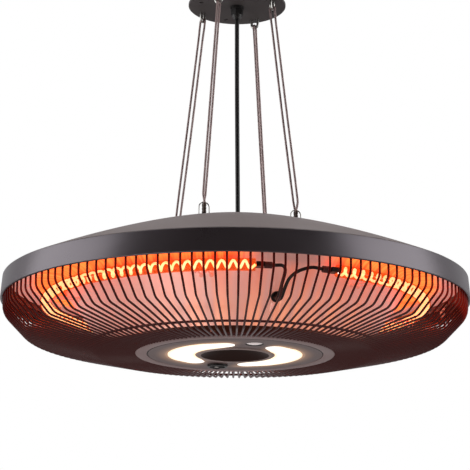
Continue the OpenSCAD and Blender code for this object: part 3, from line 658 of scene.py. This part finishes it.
def filleted(points: Sequence[Vector], radii: Sequence[float], steps: int = 6) -> list[Vector]:
    """Rounds the corners of a line.

    Args:
        points: the line's corners.
        radii: the radius at each corner, 0 where it stays sharp.
        steps: the number of chords in a corner's arc.

    Returns:
        The points of the rounded line.
    """
    line = []
    for i, (corner, radius) in enumerate(zip(points, radii)):
        if not radius:
            line.append(corner.copy())
            continue
        before, after = points[i - 1], points[(i + 1) % len(points)]
        a, b = (before - corner).normalized(), (after - corner).normalized()
        half = a.angle(b) / 2
        centre = corner + (a + b).normalized() * radius / sin(half)
        start = corner + a * radius / tan(half) - centre
        end = corner + b * radius / tan(half) - centre
        turn = start.angle(end)
        for k in range(steps + 1):
            share = k / steps
            line.append(centre + (start * sin((1 - share) * turn) + end * sin(share * turn)) / sin(turn))
    return line


def turned(outline: Sequence[Corner], steps: int = 180, steps_in_corner: int = 4) -> BMesh:
    """Spins a closed outline about the heater's axis.

    Args:
        outline: radius, height above the lamp face and corner radius of each corner, in mm.
        steps: the number of faces round the axis.
        steps_in_corner: the number of chords in each rounded corner.

    Returns:
        A bmesh of the solid of revolution, in the CAD frame.
    """
    corners = [Vector((r, 0, z)) for r, z, _ in outline]
    line = filleted(corners, [c[2] for c in outline], steps_in_corner)
    bm = bmesh.new()
    verts = [bm.verts.new((p.x * MM, 0, FACE_Z + p.z * MM)) for p in line]
    edges = [bm.edges.new(pair) for pair in zip(verts, verts[1:] + verts[:1])]
    bmesh.ops.spin(
        bm, geom=verts + edges, axis=(0, 0, 1), cent=(0, 0, 0), angle=tau, steps=steps, use_merge=True
    )
    bmesh.ops.dissolve_degenerate(bm, edges=bm.edges, dist=1e-7)
    return bm


def bored(mesh: Mesh, radius: float, depth: float, places: Iterable[Matrix]) -> Mesh:
    """Drills round holes in a mesh.

    Args:
        mesh: the mesh, which is used up.
        radius: the holes' radius, in metres.
        depth: the length of the drill, which lies along each place's Z.
        places: the middle and direction of each hole.

    Returns:
        The drilled mesh.
    """
    drills = bmesh.new()
    for place in places:
        bmesh.ops.create_cone(
            drills, cap_ends=True, segments=32, radius1=radius, radius2=radius, depth=depth, matrix=place
        )
    objects = [linked("blank", mesh), linked("drills", as_mesh(drills, "drills"))]
    cut = objects[0].modifiers.new("holes", "BOOLEAN")
    cut.operation, cut.object = "DIFFERENCE", objects[1]
    made = final_mesh(objects[0], mesh.name + "_drilled")
    for item in objects:
        old = item.data
        bpy.data.objects.remove(item)
        bpy.data.meshes.remove(old)
    return made


def wire_curve(
    name: str, lines: Iterable[Sequence[Vector]], diameter: float, round_steps: int = 1, cyclic: bool = False
) -> Curve:
    """Makes round wires along lines.

    Args:
        name: the curve's name.
        lines: the points of each wire, in metres.
        diameter: the wires' thickness.
        round_steps: half of the wire's sides past the first four.
        cyclic: True where each wire closes on itself.

    Returns:
        The curve.
    """
    curve = bpy.data.curves.new(name, "CURVE")
    curve.dimensions = "3D"
    curve.fill_mode = "FULL"
    curve.bevel_depth = diameter / 2
    curve.bevel_resolution = round_steps
    curve.use_fill_caps = not cyclic
    for line in lines:
        spline = curve.splines.new("POLY")
        spline.points.add(len(line) - 1)
        for point, place in zip(spline.points, line):
            point.co = (*place, 1.0)
        spline.use_cyclic_u = cyclic
        spline.use_smooth = True
    return curve


def wire_mesh(name: str, lines: Iterable[Sequence[Vector]], diameter: float, **more) -> Mesh:
    """Makes round wires along lines, as a mesh.

    Args:
        name: the mesh's name.
        lines: the points of each wire, in metres.
        diameter: the wires' thickness.
        more: what wire_curve takes besides.

    Returns:
        The mesh.
    """
    curve = wire_curve(name + "_line", lines, diameter, **more)
    carrier = linked(name + "_line", curve)
    mesh = final_mesh(carrier, name)
    bpy.data.objects.remove(carrier)
    bpy.data.curves.remove(curve)
    return mesh


def gaps_between(points: Sequence[Vector]) -> list[float]:
    """Distance from each point to the next."""
    return [(b - a).length for a, b in zip(points, points[1:])]


def through(points: Sequence[Vector], step: float) -> list[Vector]:
    """A smooth line through points.

    Args:
        points: the points that it passes.
        step: about how far apart the line's own points lie.

    Returns:
        The line's points.
    """
    gaps = gaps_between(points)
    slopes = []
    for i in range(len(points)):
        low, high = max(0, i - 1), min(len(points) - 1, i + 1)
        slopes.append((points[high] - points[low]) / sum(gaps[low:high]))
    line = []
    for i, gap in enumerate(gaps):
        count = max(1, round(gap / step))
        for t in (k / count for k in range(count)):
            line.append(
                points[i] * (2 * t**3 - 3 * t**2 + 1) + points[i + 1] * (3 * t**2 - 2 * t**3)
                + (slopes[i] * (t**3 - 2 * t**2 + t) + slopes[i + 1] * (t**3 - t**2)) * gap
            )
    return [*line, points[-1].copy()]


def helix(line: Sequence[Vector], normal: Vector, radius: float, pitch: float, phase: float) -> list[Vector]:
    """A helix round a flat line.

    Args:
        line: the points of the line, close together.
        normal: the normal of the plane that the line lies in.
        radius: the helix's radius.
        pitch: how far along the line one turn takes.
        phase: the angle at the line's start.

    Returns:
        One point for each point of the line.
    """
    made, travelled = [], 0.0
    for i, point in enumerate(line):
        if i:
            travelled += (point - line[i - 1]).length
        ahead = (line[min(i + 1, len(line) - 1)] - line[max(i - 1, 0)]).normalized()
        across = ahead.cross(normal).normalized()
        angle = phase + tau * travelled / pitch
        made.append(point + radius * (across * cos(angle) + normal * sin(angle)))
    return made


def bearing(degrees: float, radius: float, height: float) -> Vector:
    """The place at an angle from the front towards the right, radius and height in mm."""
    a = radians(degrees)
    return Vector((radius * sin(a), -radius * cos(a), height)) * MM + Vector((0, 0, FACE_Z))


# The heater's sub-assemblies


@dataclass
class Studio:
    """Camera, lights, floor and background."""

    azimuth_degrees: float = -17.4
    distance_mm: float = 2200.0
    below_face_mm: float = 395.865
    pitch: float = 0.2461689
    roll: float = 0.0060265
    focal_px: float = 1749.08
    picture_px: float = 470.0
    centre_px: float = 235.733
    sensor_mm: float = 36.0
    floor_drop: float = 4.6
    floor_r: float = 10.6
    before: Colour = (0.04, 0.025, 0.024)
    behind: Colour = (0.5, 0.49, 0.5)
    turn: Span = (-0.35, 0.9)
    # Name, bearing, height, distance, size, watts and colour of each light
    lights: tuple = (
        ("left_light", -84, 0.5, 2.4, 2.3, 35, (1, 1, 1)),
        ("right_light", 78, 0.5, 2.4, 2.3, 37, (1, 1, 1)),
        ("top_light", 180, 2.4, 0.4, 2.4, 29, (1, 1, 1)),
        ("low_light", -50, -1.6, 1.6, 1.4, 11, (1.0, 0.93, 0.9)),
    )
    aim_height: float = 0.1

    def camera(self) -> None:
        """Sets the camera where the photograph was taken from."""
        data = bpy.data.cameras.new("camera")
        data.sensor_width = self.sensor_mm
        data.lens = self.focal_px / self.picture_px * self.sensor_mm
        data.shift_x = (self.picture_px / 2 - self.centre_px) / self.picture_px
        data.clip_start, data.clip_end = 0.01, 100.0
        camera = linked("camera", data)
        bpy.context.scene.camera = camera
        a = radians(self.azimuth_degrees)
        ahead = Vector((-sin(a), cos(a), 0)) * cos(self.pitch)
        ahead.z = sin(self.pitch)
        level = Vector((cos(a), sin(a), 0))
        upward = level.cross(ahead)
        right = level * cos(self.roll) + upward * sin(self.roll)
        up = right.cross(ahead)
        turn = Matrix((right, up, -ahead)).transposed()
        place = Vector((sin(a), -cos(a), 0)) * self.distance_mm * MM
        place.z = FACE_Z - self.below_face_mm * MM
        camera.matrix_world = Matrix.Translation(place) @ turn.to_4x4()

    def softbox(
        self, name: str, azimuth: float, height: float, distance: float, size: float, power: float,
        colour: Colour,
    ) -> None:
        """Adds a square soft light that faces the heater.

        Args:
            name: the light's name.
            azimuth: its bearing from the camera's side, in degrees.
            height: its height above the lamp face.
            distance: its level distance from the axis.
            size: the length of its sides.
            power: its power in watts.
            colour: its colour.
        """
        data = bpy.data.lights.new(name, "AREA")
        data.shape, data.size, data.energy, data.color = "SQUARE", size, power, colour
        lamp = linked(name, data)
        a = radians(azimuth + self.azimuth_degrees)
        lamp.location = (distance * sin(a), -distance * cos(a), FACE_Z + height)
        aim = Vector((0, 0, FACE_Z + self.aim_height)) - lamp.location
        lamp.rotation_euler = aim.to_track_quat("-Z", "Y").to_euler()

    def background(self) -> None:
        """Lights the set: white to the camera, bright behind the heater and dark before it."""
        world = bpy.data.worlds.new("studio")
        bpy.context.scene.world = world
        graph = Graph(world)
        a = radians(self.azimuth_degrees)
        toward = {0: graph.node("TexCoord", out="Generated"), 1: (-sin(a), cos(a), 0.0)}
        away = graph.node("VectorMath", {"operation": "DOT_PRODUCT"}, toward, out="Value")
        shade = graph.mix(away.step(*self.turn), self.before, self.behind)
        white = graph.node("Background", inputs={"Color": (1.0, 1.0, 1.0), "Strength": 1.0})
        light = graph.node("Background", inputs={"Color": shade, "Strength": 1.0})
        graph.ends(graph.blend(graph.camera_ray(), light, white))

    def floor(self) -> None:
        """Lays a pale floor under the heater, well below the camera's view."""
        bm = bmesh.new()
        bmesh.ops.create_circle(bm, cap_ends=True, segments=64, radius=self.floor_r)
        bmesh.ops.translate(bm, verts=bm.verts, vec=(0, 0, -self.floor_drop))
        piece = linked("floor", as_mesh(bm, "floor"))
        paint = PaleFloor("floor_paint", srgb(226, 224, 221), 0.7, uneven=0.01)
        piece.data.materials.append(paint.material())

    def build(self) -> None:
        """Makes the whole set."""
        bpy.context.scene.view_settings.view_transform = "Standard"
        self.camera()
        self.background()
        self.floor()
        for light in self.lights:
            self.softbox(*light)


@dataclass
class Suspension:
    """Power cord, wire ropes and crimp sleeves."""

    cord_mm: float = 6.0
    cord_route_mm: tuple = ((0, 0, -22), (0, 0, -34), (0.5, 0, -110), (1.5, 0, -200), (2.5, 0, -280),
                            (2.5, 0, -304), (1.5, 0, -330), (0.2, 0, -356), (0, 0, -372))
    rope_mm: float = 2.8
    strands: int = 6
    overlap: float = 1.1
    lay_mm: float = 15.0
    rope_route_mm: tuple = (
        (61, -63.3, -297.4), (61.1, -63.3, -295.5), (62.2, -63.2, -291), (62.9, -63.1, -284),
        (52.3, -52.3, -165), (41.3, -41.3, -40), (39.45, -39.45, -16), (38.75, -38.75, -13.5),
        (37, -37, -12.55), (35.25, -35.25, -13.5), (34.55, -34.55, -16), (36.8, -36.8, -40),
        (47.6, -47.6, -165), (58.6, -58.6, -284), (59.8, -58.8, -291), (60.9, -58.7, -295.5),
        (61, -58.7, -297.4))
    corners: dict = field(default_factory=lambda: {
        "rope_front_right": (1, 1), "rope_front_left": (-1, 1),
        "rope_rear_right": (1, -1), "rope_rear_left": (-1, -1)})
    sleeve_top_mm: float = -297.4
    sleeve_mm: float = 13.0
    sleeve_r_mm: float = 2.6
    sleeve_spread: float = 1.885
    anchor_mm: float = 61.0

    def power_cord(self) -> None:
        """Hangs the black power cord between the ceiling gland and the inlet gland."""
        route = through([Vector(p) * MM for p in self.cord_route_mm], 0.006)
        curve = wire_curve("supply_cord", [route], self.cord_mm * MM, round_steps=4)
        cord = add_piece(curve, "supply_cord", Look.CORD, stands_for=["power_cord"])
        length = sum(gaps_between(route))
        tuple(route[-1])

    def rope(self, node: str, side_x: int, side_y: int) -> None:
        """Winds one wire rope, from its sleeve over its ceiling eye and back.

        Args:
            node: the CAD node that it stands for.
            side_x, side_y: 1 or -1, which corner it hangs in.
        """
        corner = [Vector((p[0] * side_x, p[1] * side_y, p[2])) * MM for p in self.rope_route_mm]
        route = through(corner, 0.0016)
        normal = Vector((side_x, side_y, 0)).normalized()
        strand = self.rope_mm / 3 * MM * self.overlap
        lines = [
            helix(route, normal, strand, self.lay_mm * MM, tau * i / self.strands)
            for i in range(self.strands)
        ]
        name = node.replace("rope_", "steel_rope_")
        mesh = wire_mesh(name, [route, *lines], strand)
        rope = add_piece(mesh, name, Look.ROPE, stands_for=[node])
        length = sum(gaps_between(route))
        tuple(route[0])
        [tuple(p) for p in route]

    def sleeves(self) -> None:
        """Presses the four oval crimp sleeves, with two crimp marks each."""
        radius, low, high = self.sleeve_r_mm, self.sleeve_top_mm - self.sleeve_mm, self.sleeve_top_mm
        outline = [(0, low, 0), (radius * 0.8, low, 0.3), (radius, low + 0.6, 0.4)]
        for share in (0.3, 0.62):
            middle = low + share * self.sleeve_mm
            outline += [(radius, middle - 1.2, 0.2), (radius * 0.87, middle - 0.5, 0.3),
                        (radius * 0.87, middle + 0.5, 0.3), (radius, middle + 1.2, 0.2)]
        outline += [(radius, high - 0.6, 0.4), (radius * 0.8, high, 0.3), (0, high, 0)]
        shift = FACE_Z / MM
        whole = bmesh.new()
        one = as_mesh(turned([(r, z - shift, c) for r, z, c in outline], steps=28), "one_sleeve")
        for side_x in (-1, 1):
            for side_y in (-1, 1):
                start = len(whole.verts)
                whole.from_mesh(one)
                fresh = list(whole.verts)[start:]
                bmesh.ops.scale(whole, verts=fresh, vec=(1, self.sleeve_spread, 1))
                bmesh.ops.translate(
                    whole, verts=fresh, vec=(side_x * self.anchor_mm * MM, side_y * self.anchor_mm * MM, 0)
                )
        bpy.data.meshes.remove(one)
        add_piece(as_mesh(whole, "ferrules"), "ferrules", Look.SLEEVE, stands_for=["crimp_sleeves"])

    def build(self) -> None:
        """Makes the cord, the ropes and their sleeves."""
        self.power_cord()
        for node, sides in self.corners.items():
            self.rope(node, *sides)
        self.sleeves()


@dataclass
class Shell:
    """Dome, rim band and cap."""

    rim_mm: float = 300.0
    lip_mm: float = 63.0
    band_top_mm: float = 92.0
    rise_mm: float = 86.0
    power: float = 1.5
    shell_mm: float = 296.1
    wall_mm: float = 1.5
    skirt_mm: float = 80.5
    cap_mm: float = 29.0
    cap_wall_mm: float = 3.0

    def height(self, radius: float) -> float:
        """Height of the dome's outside above the lamp face, in mm, at a radius in mm."""
        return self.band_top_mm + self.rise_mm * (1 - (radius / (self.rim_mm - 3)) ** self.power)

    def curve(self, start: float, end: float, below: float, count: int) -> list[Corner]:
        """Corners along the dome's curve between two radii, lying below it."""
        radii = [start + (end - start) * i / count for i in range(count + 1)]
        return [(r, self.height(r) - below, 0) for r in radii]

    def build(self) -> None:
        """Makes the dome, the band and the cap."""
        edge = self.height(self.shell_mm)
        dome = [
            *self.curve(0, self.shell_mm - 3, 0, 60),
            (self.shell_mm, edge, 1.2),
            (self.shell_mm, self.skirt_mm, 0.5),
            (self.shell_mm - self.wall_mm, self.skirt_mm, 0.5),
            (self.shell_mm - self.wall_mm, edge - self.wall_mm, 0.4),
            *self.curve(self.shell_mm - 3, 0, self.wall_mm, 30),
        ]
        add_piece(as_mesh(turned(dome, 240), "dome"), "dome", Look.DOME, stands_for=["top_shell"])
        top = self.rim_mm - 2.4
        lip = self.rim_mm - 3.1
        band = [
            (lip, self.lip_mm, 0.3), (self.rim_mm, self.lip_mm, 1.3), (top, self.band_top_mm - 0.5, 0.6),
            (top - 1.2, self.band_top_mm - 0.5, 0.3), (self.rim_mm - 1.2, self.lip_mm + 1.2, 0.5),
            (lip, self.lip_mm + 1.2, 0.3),
        ]
        add_piece(as_mesh(turned(band, 240), "rim"), "rim", Look.BAND, stands_for=["rim_band"])
        rise = self.cap_wall_mm
        cap = [
            *self.curve(0, self.cap_mm, -0.2, 10),
            (self.cap_mm, self.height(self.cap_mm) + rise, 1.2),
            (0, self.height(0) + rise, 0),
        ]
        add_piece(as_mesh(turned(cap, 96), "cap"), "cap", Look.CAP, stands_for=["top_cap"])


@dataclass
class Guard:
    """The guard's radial wires."""

    count: int = 140
    wire_mm: float = 2.8
    corners_mm: tuple = ((295.0, 78.0), (295.0, 48.5), (268.0, 20.4), (178.0, 0.0), (127.6, 0.0))
    bends_mm: tuple = (0, 14, 16, 30, 0)

    def build(self) -> None:
        """Bends one wire and repeats it round the axis."""
        corners = [Vector((r, 0, z)) for r, z in self.corners_mm]
        line = [p * MM + Vector((0, 0, FACE_Z)) for p in filleted(corners, self.bends_mm)]
        bm = bmesh.new()
        bm.from_mesh(wire_mesh("bar", [line], self.wire_mm * MM, round_steps=2))
        step = tau / self.count
        turn = Matrix.Rotation(step / 2 - pi / 2, 3, "Z")
        bmesh.ops.rotate(bm, verts=bm.verts, cent=(0, 0, 0), matrix=turn)
        bmesh.ops.spin(
            bm, geom=bm.verts[:] + bm.edges[:] + bm.faces[:], axis=(0, 0, 1), cent=(0, 0, 0),
            angle=tau - step, steps=self.count - 1, use_duplicate=True,
        )
        add_piece(as_mesh(bm, "bars", 60), "bars", Look.ENAMEL, stands_for=["guard_bars"])


@dataclass
class Reflector:
    """Cone round the lamp housing, bent out over the tubes."""

    foot_mm: Span = (164.5, 5.5)
    corner_mm: Span = (225.6, 86.0)
    wing_mm: float = 288.0
    bend_mm: float = 22.0
    sheet_mm: float = 0.8
    hole_bearings: Span = (-2.5, 177.5)
    hole_z_mm: float = 37.0
    hole_r_mm: float = 5.8
    drill_mm: float = 12.0

    def build(self) -> None:
        """Turns the sheet and drills the holes of the two wire grommets."""
        (foot, low), (corner, high) = self.foot_mm, self.corner_mm
        slope = atan2(high - low, corner - foot)
        sheet = self.sheet_mm
        back = corner - sheet * tan(slope / 2)
        outline = [
            (foot, low, 0), (corner, high, self.bend_mm), (self.wing_mm, high, 0),
            (self.wing_mm, high + sheet, 0), (back, high + sheet, self.bend_mm + sheet),
            (foot - sheet * sin(slope), low + sheet * cos(slope), 0),
        ]
        across = foot + (self.hole_z_mm - low) / tan(slope)
        holes = [
            Matrix.Translation(bearing(turn, across, self.hole_z_mm))
            @ Matrix.Rotation(radians(turn), 4, "Z") @ Matrix.Rotation(pi - slope, 4, "X")
            for turn in self.hole_bearings
        ]
        blank = as_mesh(turned(outline, 240, 12), "reflector_sheet")
        mesh = bored(blank, self.hole_r_mm * MM, self.drill_mm * MM, holes)
        add_piece(mesh, "reflector_sheet", Look.REFLECTOR, stands_for=["reflector"])


@dataclass
class Elements:
    """Glowing filaments and lead wires."""

    ring_mm: float = 242.0
    height_mm: float = 61.5
    gap_degrees: float = 12.0
    margin_degrees: float = 1.2
    coil_mm: float = 9.3
    wire_mm: float = 3.1
    curls: int = 49
    steps: int = 24
    left_route_mm: tuple = (
        (-30.8, -240, 61.5), (-26, -240.8, 61.7), (-19.5, -240.4, 62.2), (-14.8, -237.4, 60.6),
        (-12.4, -231.6, 57), (-11.4, -223, 51.2), (-10.8, -211, 41.2), (-10.6, -203, 34.6),
        (-10.6, -197.4, 32.4), (-10.6, -192.6, 33.9), (-10.6, -184.8, 39.8), (-10.6, -177, 43.8),
        (-10.6, -166, 46), (-10.6, -123.2, 46))
    right_route_mm: tuple = (
        (30.8, -240, 61.5), (26, -240.8, 62), (18.5, -240.2, 62.6), (11, -238.4, 61.2),
        (3.5, -234.6, 58.5), (-1.8, -228.8, 54.8), (-4.7, -221.5, 50.2), (-6, -211, 41.2),
        (-6.2, -203, 34.6), (-6.2, -197.4, 32.4), (-6.2, -192.6, 33.9), (-6.2, -184.8, 39.8),
        (-6.2, -177, 43.8), (-6.2, -166, 46), (-6.2, -123.2, 46))
    lead_mm: float = 4.2

    def filament(self, name: str, start: float) -> None:
        """Winds one filament along its tube.

        Args:
            name: the CAD node that it stands for; the piece is named after it.
            start: the bearing of the tube's first end, in degrees.
        """
        first = start + self.margin_degrees
        sweep = 180 - 2 * (self.gap_degrees + self.margin_degrees)
        total = self.curls * self.steps
        ring = [bearing(first + sweep * i / total, self.ring_mm, self.height_mm) for i in range(total + 1)]
        pitch = radians(sweep) * self.ring_mm * MM / self.curls
        coil = helix(ring, Vector((0, 0, -1)), self.coil_mm / 2 * MM, pitch, pi / 2)
        ends = [
            bearing(first + turn, self.ring_mm, self.height_mm)
            for turn in (-self.margin_degrees, sweep + self.margin_degrees)
        ]
        line = [ends[0], *coil, ends[1]]
        mesh = wire_mesh(name + "_glow", [line], self.wire_mm * MM, round_steps=2)
        add_piece(mesh, name + "_glow", Look.FILAMENT, stands_for=[name])

    def leads(self, name: str, side: int) -> None:
        """Lays two lead wires from the tubes' ends to the lamp housing.

        Args:
            name: the CAD node that they stand for.
            side: 1 at the front or -1 at the rear.
        """
        lift = Vector((0, 0, FACE_Z))
        lines = [
            through([Vector((p[0] * side, p[1] * side, p[2])) * MM + lift for p in route], 0.002)
            for route in (self.left_route_mm, self.right_route_mm)
        ]
        mesh = wire_mesh(name + "_sleeved", lines, self.lead_mm * MM, round_steps=2)
        add_piece(mesh, name + "_sleeved", Look.SILICONE, stands_for=[name])

    def build(self) -> None:
        """Makes both filaments and all lead wires."""
        self.filament("filament_right", self.gap_degrees)
        self.filament("filament_left", 180 + self.gap_degrees)
        self.leads("lead_wires_front", 1)
        self.leads("lead_wires_rear", -1)


@dataclass
class LampFace:
    """Bezel, dish and window of the lamp face."""

    face_mm: float = -1.0
    bezel_mm: float = 127.2
    bezel_in_mm: float = 112.5
    bezel_back_mm: float = 1.3
    dish_mm: float = 44.0
    depth_mm: float = 12.0
    dish_wall_mm: float = 1.4
    window_at_mm: float = 80.0
    window_mm: float = 10.6
    plate_back_mm: float = 1.2

    def bezel(self) -> None:
        """Turns the bezel ring with its rounded outer edge."""
        ring = [
            (self.bezel_in_mm, self.face_mm, 0.4), (self.bezel_mm, self.face_mm, 1.6),
            (self.bezel_mm, self.bezel_back_mm, 0.3), (self.bezel_in_mm, self.bezel_back_mm, 0.2),
        ]
        add_piece(as_mesh(turned(ring), "bezel"), "bezel", Look.BEZEL, stands_for=["bezel_ring"])

    def dish(self) -> None:
        """Turns the dished middle and its lip."""
        lip = self.face_mm - 1

        def bowl(count: int, behind: float) -> list[Corner]:
            """Corners of the bowl's curve from the middle out, lying behind it."""
            radii = [self.dish_mm * i / count for i in range(count + 1)]
            return [(r, lip + self.depth_mm * (1 - (r / self.dish_mm) ** 2) + behind, 0) for r in radii]

        outline = [
            *bowl(24, 0.0),
            (self.dish_mm + 1.2, lip - 0.3, 0.4), (self.dish_mm + 5.4, lip - 0.1, 0.5),
            (self.dish_mm + 6.2, lip + 0.5, 0.2), (self.dish_mm + 6.2, self.face_mm - 0.15, 0),
            (self.dish_mm + 2.6, self.face_mm - 0.15, 0), *reversed(bowl(12, self.dish_wall_mm)),
        ]
        add_piece(as_mesh(turned(outline, 120), "dish"), "dish", Look.DISH, stands_for=["centre_dish"])

    def window(self) -> None:
        """Moulds the domed window over the sensor, a little back in its hole."""
        edge, back = self.face_mm + 1.3, self.plate_back_mm
        steps = [self.window_mm * i / 12 for i in range(13)]
        outline = [(r, edge - 1.8 * (1 - (r / self.window_mm) ** 2), 0) for r in steps]
        rim = self.window_mm + 2
        outline += [(self.window_mm, back, 0), (rim, back, 0), (rim, back + 1, 0.2), (0, back + 1, 0)]
        bm = turned(outline, 64)
        bmesh.ops.translate(bm, verts=bm.verts, vec=(0, -self.window_at_mm * MM, 0))
        add_piece(as_mesh(bm, "window"), "window", Look.WINDOW, stands_for=["sensor_window"])

    def build(self) -> None:
        """Makes the lamp face's turned pieces."""
        self.bezel()
        self.dish()
        self.window()


@dataclass
class SwitchMarks:
    """Line and ring moulded on the two halves of the rocker."""

    switch_at_mm: float = 77.0
    rocker_mm: float = 10.15
    tilt_degrees: float = 12.0
    dip_mm: float = -1.2
    line_mm: float = 0.9
    long_mm: float = 2.4
    reach: float = 0.48

    def build(self) -> None:
        """Lays both marks half sunk in the rocker's faces."""
        slope = radians(self.tilt_degrees)
        rest = Matrix.Translation(bearing(180, self.switch_at_mm, 0)) @ Matrix.Rotation(-slope, 4, "X")
        out = self.rocker_mm * self.reach
        for name, side in (("mark_line", 1), ("mark_ring", -1)):
            face = Matrix.Translation(Vector((0, side * out, self.dip_mm - out * tan(slope))) * MM)
            place = rest @ face @ Matrix.Rotation(-side * slope, 4, "X")
            if side > 0:
                flat = [(x * self.long_mm, 0, 0) for x in (-1, 0, 1)]
            else:
                turns = [tau * i / 24 for i in range(24)]
                flat = [(self.long_mm * cos(a), self.long_mm * sin(a), 0) for a in turns]
            line = [place @ (Vector(p) * MM) for p in flat]
            mesh = wire_mesh(name, [line], self.line_mm * MM, cyclic=side < 0)
            add_piece(mesh, name, Look.MARK, body=ROCKER)


@dataclass
class Dressing:
    """Finishes for the CAD nodes that show as they are."""

    looks: dict = field(default_factory=lambda: {
        Look.GRAPHITE: ("ceiling_plate",),
        Look.NYLON: ("ceiling_gland", "inlet_gland"),
        Look.STEEL: ("rope_eyes", "cap_screws", "post_screws", "reflector_screws", "guard_screws",
                     "hub_screws", "board_standoffs"),
        Look.BAIL: ("wire_bails",),
        Look.CORD: ("cap_grommet", "wire_grommets", "housing_bushings"),
        Look.CAST: ("hanger_posts",),
        Look.GALVANISED: ("support_cross", "guard_brackets"),
        Look.BRIGHT: ("heat_shield",),
        Look.ENAMEL: ("guard_top_ring", "guard_support_ring", "guard_hub_ring"),
        Look.QUARTZ: ("quartz_tube_right", "quartz_tube_left"),
        Look.ENDS: ("tube_end_caps",),
        Look.CERAMIC: ("ceramic_ends",),
        Look.HOLDER: ("tube_holders",),
        Look.HOUSING: ("lamp_housing",),
        Look.BOARD: ("control_board", "sensor_board"),
        Look.IVORY: ("terminal_block",),
        Look.FACE: ("face_plate",),
        Look.OPAL: ("light_cover_right", "light_cover_left"),
        Look.LIGHT_BOARD: ("light_board_right", "light_board_left"),
        Look.SWITCH: ("switch_body",),
        Look.ROCKER: ("switch_rocker",)})

    def build(self) -> None:
        """Gives each node its finish."""
        for look, nodes in self.looks.items():
            for node in nodes:
                for place in frame["nodes"][node].material_slots:
                    place.material = look.material()
                log.info("%s wears %s", node, look.name)


def main() -> None:
    """Builds the set and the heater."""
    logging.basicConfig(level=logging.INFO, format="%(name)s: %(message)s")
    kinds = (Studio, Suspension, Shell, Guard, Reflector, Elements, LampFace, SwitchMarks, Dressing)
    for kind in kinds:
        log.info("building %s", kind.__name__)
        kind().build()


if __name__ == "__main__":
    main()
